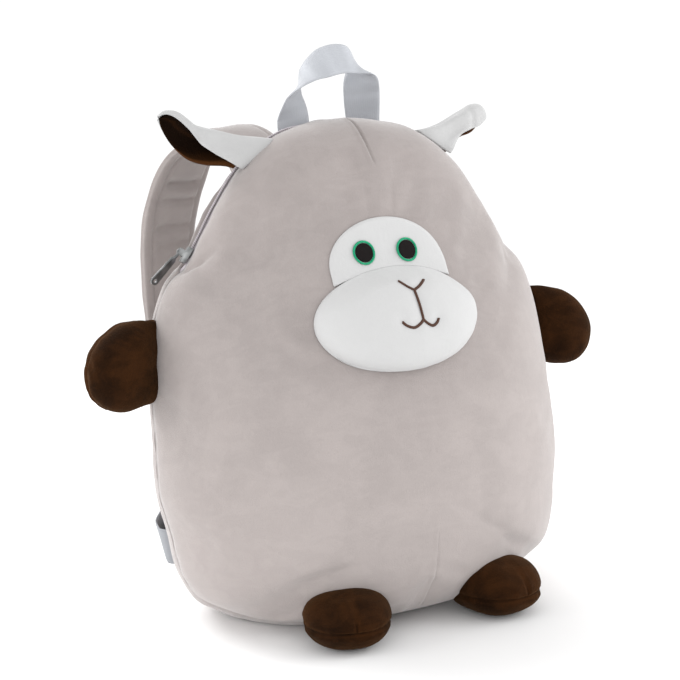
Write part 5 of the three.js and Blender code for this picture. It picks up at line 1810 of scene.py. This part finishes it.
def lower_parts(side, sign, end, down, across, turn):
    """The adjuster at a strap's end, and the webbing from it down to the side seam."""
    length, width, thickness = ADJUSTER
    bar = (end + down * SEAT_GAP, end + down * (SEAT_GAP + length))
    adjuster = skin_box("adjuster_moulded_" + side, *bar, across, width, thickness)
    dress(adjuster, cloth_of("plastic"), ["adjuster_" + side])

    mirror = (sign, 1, 1)
    start = end + down * (length + 3 * SEAT_GAP)
    lead = start + down * WEBBING_LEAD
    rows = [(tuple(lead * mirror * 1000), tuple(turn * mirror)), *WEBBING_ROUTE]
    places, turns = route(rows, 110)
    places = np.vstack([start, places * mirror])
    turns = np.vstack([turn, turns * mirror])
    webbing = flat_band("webbing_lower_" + side, places, turns, WEBBING_WIDTH, WEBBING_THICKNESS)
    # Its finish is a darker copy of the handle's webbing, as painted shade.
    dress(webbing, cloth_of("low_webbing"), ["webbing_" + side])


class BACKPACK_OT_carrying(bpy.types.Operator):
    """Makes the handle, the padded straps, their adjusters and the webbing"""

    bl_idname = "backpack.carrying"
    bl_label = "Handle and Straps"

    def execute(self, context):
        handle()
        for side, sign in (("left", 1), ("right", -1)):
            places, turns = route(STRAP_ROUTE, 150)
            places = places * (sign, 1, 1)
            turns = turns * (sign, 1, 1)
            along, across, out = band_frames(places, turns)
            padded_strap(side, places, across, out, context.scene.backpack_sizes.stitch_pitch)
            lower_parts(side, sign, places[-1], along[-1], across[-1], turns[-1])
        return {"FINISHED"}


# Stage

CAMERA_PLACE = (-0.40184, -0.80407, 0.29445)
CAMERA_TURN = math.radians(-25.922)
CAMERA_PITCH = math.radians(7.242)
CAMERA_ROLL = math.radians(-2.859)
CAMERA_LENS = 69.534


# Each lamp's name, place, aim, size and power.
LAMPS = (
    ("key", (1.45, -0.55, 0.7), (0, 0, 0.14), 1.4, 14.0),
    ("fill", (-1.0, -1.5, 0.28), (0, 0, 0.12), 1.3, 8.8),
    ("side", (-1.3, 0.3, 0.6), (-0.1, 0, 0.1), 0.8, 4.0),
    ("behind", (-0.7, 0.95, 1.2), (0, -0.1, 0.0), 0.9, 11.0),
)
WORLD_STRENGTH = 1.05
FLOOR_DROP = 0.0002


def paper(half):
    """The floor: a square of studio paper just under the bag."""
    corners = [(-half, -half, 0), (half, -half, 0), (half, half, 0), (-half, half, 0)]
    mesh = bpy.data.meshes.new("floor")
    mesh.from_pydata(corners, [], [(0, 1, 2, 3)])
    mesh.materials.append(paper_floor("floor_paper", (1.0, 1.0, 1.0)))
    floor = new_object("floor", mesh)
    floor.location.z = -FLOOR_DROP


def area_light(name, place, aim, size, power):
    data = bpy.data.lights.new(name, "AREA")
    data.shape = "DISK"
    data.size = size
    data.energy = power
    lamp = new_object(name, data)
    lamp.location = place
    lamp.rotation_euler = (Vector(aim) - Vector(place)).to_track_quat("-Z", "Y").to_euler()


def photo_camera():
    """The photograph's camera."""
    turn, pitch, roll = CAMERA_TURN, CAMERA_PITCH, CAMERA_ROLL
    forward = Vector((-math.sin(turn) * math.cos(pitch), math.cos(turn) * math.cos(pitch), -math.sin(pitch)))
    right = Vector((math.cos(turn), math.sin(turn), 0))
    up = right.cross(forward)
    image_right = right * math.cos(roll) + up * math.sin(roll)
    image_up = up * math.cos(roll) - right * math.sin(roll)
    data = bpy.data.cameras.new("camera")
    data.sensor_fit = "HORIZONTAL"
    data.sensor_width = 36
    data.lens = CAMERA_LENS
    data.clip_start = 0.02
    data.clip_end = 40
    camera = new_object("camera", data)
    turned_axes = Matrix((image_right, image_up, -forward)).transposed().to_4x4()
    camera.matrix_world = Matrix.Translation(CAMERA_PLACE) @ turned_axes
    return camera


class BACKPACK_OT_stage(bpy.types.Operator):
    """Makes the floor, the studio lights and the camera"""

    bl_idname = "backpack.stage"
    bl_label = "Stage"

    def execute(self, context):
        scene = context.scene
        paper(scene.backpack_sizes.floor)
        world = bpy.data.worlds.new("studio")
        world.use_nodes = True
        world.node_tree.nodes["Background"].inputs[0].default_value = (1.0, 1.0, 1.0, 1)
        world.node_tree.nodes["Background"].inputs[1].default_value = WORLD_STRENGTH
        scene.world = world
        for lamp in LAMPS:
            area_light(*lamp)
        scene.camera = photo_camera()
        scene.view_settings.view_transform = "Standard"
        return {"FINISHED"}


class BACKPACK_PT_panel(bpy.types.Panel):
    """Lists the backpack's pieces in the sidebar"""

    bl_idname = "BACKPACK_PT_panel"
    bl_label = "Backpack"
    bl_space_type = "VIEW_3D"
    bl_region_type = "UI"
    bl_category = "Backpack"

    def draw(self, context):
        layout = self.layout
        for group in (context.scene.backpack_colours, context.scene.backpack_sizes):
            column = layout.column(align=True)
            for key in group.bl_rna.properties.keys():
                if key not in ("rna_type", "name"):
                    column.prop(group, key)
        for operator in OPERATORS:
            layout.operator(operator.bl_idname)


OPERATORS = (
    BACKPACK_OT_stage,
    BACKPACK_OT_body,
    BACKPACK_OT_zip,
    BACKPACK_OT_face,
    BACKPACK_OT_limbs,
    BACKPACK_OT_ears,
    BACKPACK_OT_carrying,
)
CLASSES = (BackpackColours, BackpackSizes, *OPERATORS, BACKPACK_PT_panel)


def register():
    for cls in CLASSES:
        bpy.utils.register_class(cls)
    bpy.types.Scene.backpack_colours = PointerProperty(type=BackpackColours)
    bpy.types.Scene.backpack_sizes = PointerProperty(type=BackpackSizes)


def unregister():
    del bpy.types.Scene.backpack_sizes
    del bpy.types.Scene.backpack_colours
    for cls in reversed(CLASSES):
        bpy.utils.unregister_class(cls)


def main():
    register()
    bpy.ops.backpack.stage()
    bpy.ops.backpack.body()
    bpy.ops.backpack.zip()
    bpy.ops.backpack.face()
    bpy.ops.backpack.limbs()
    bpy.ops.backpack.ears()
    bpy.ops.backpack.carrying()


if __name__ == "__main__":
    main()
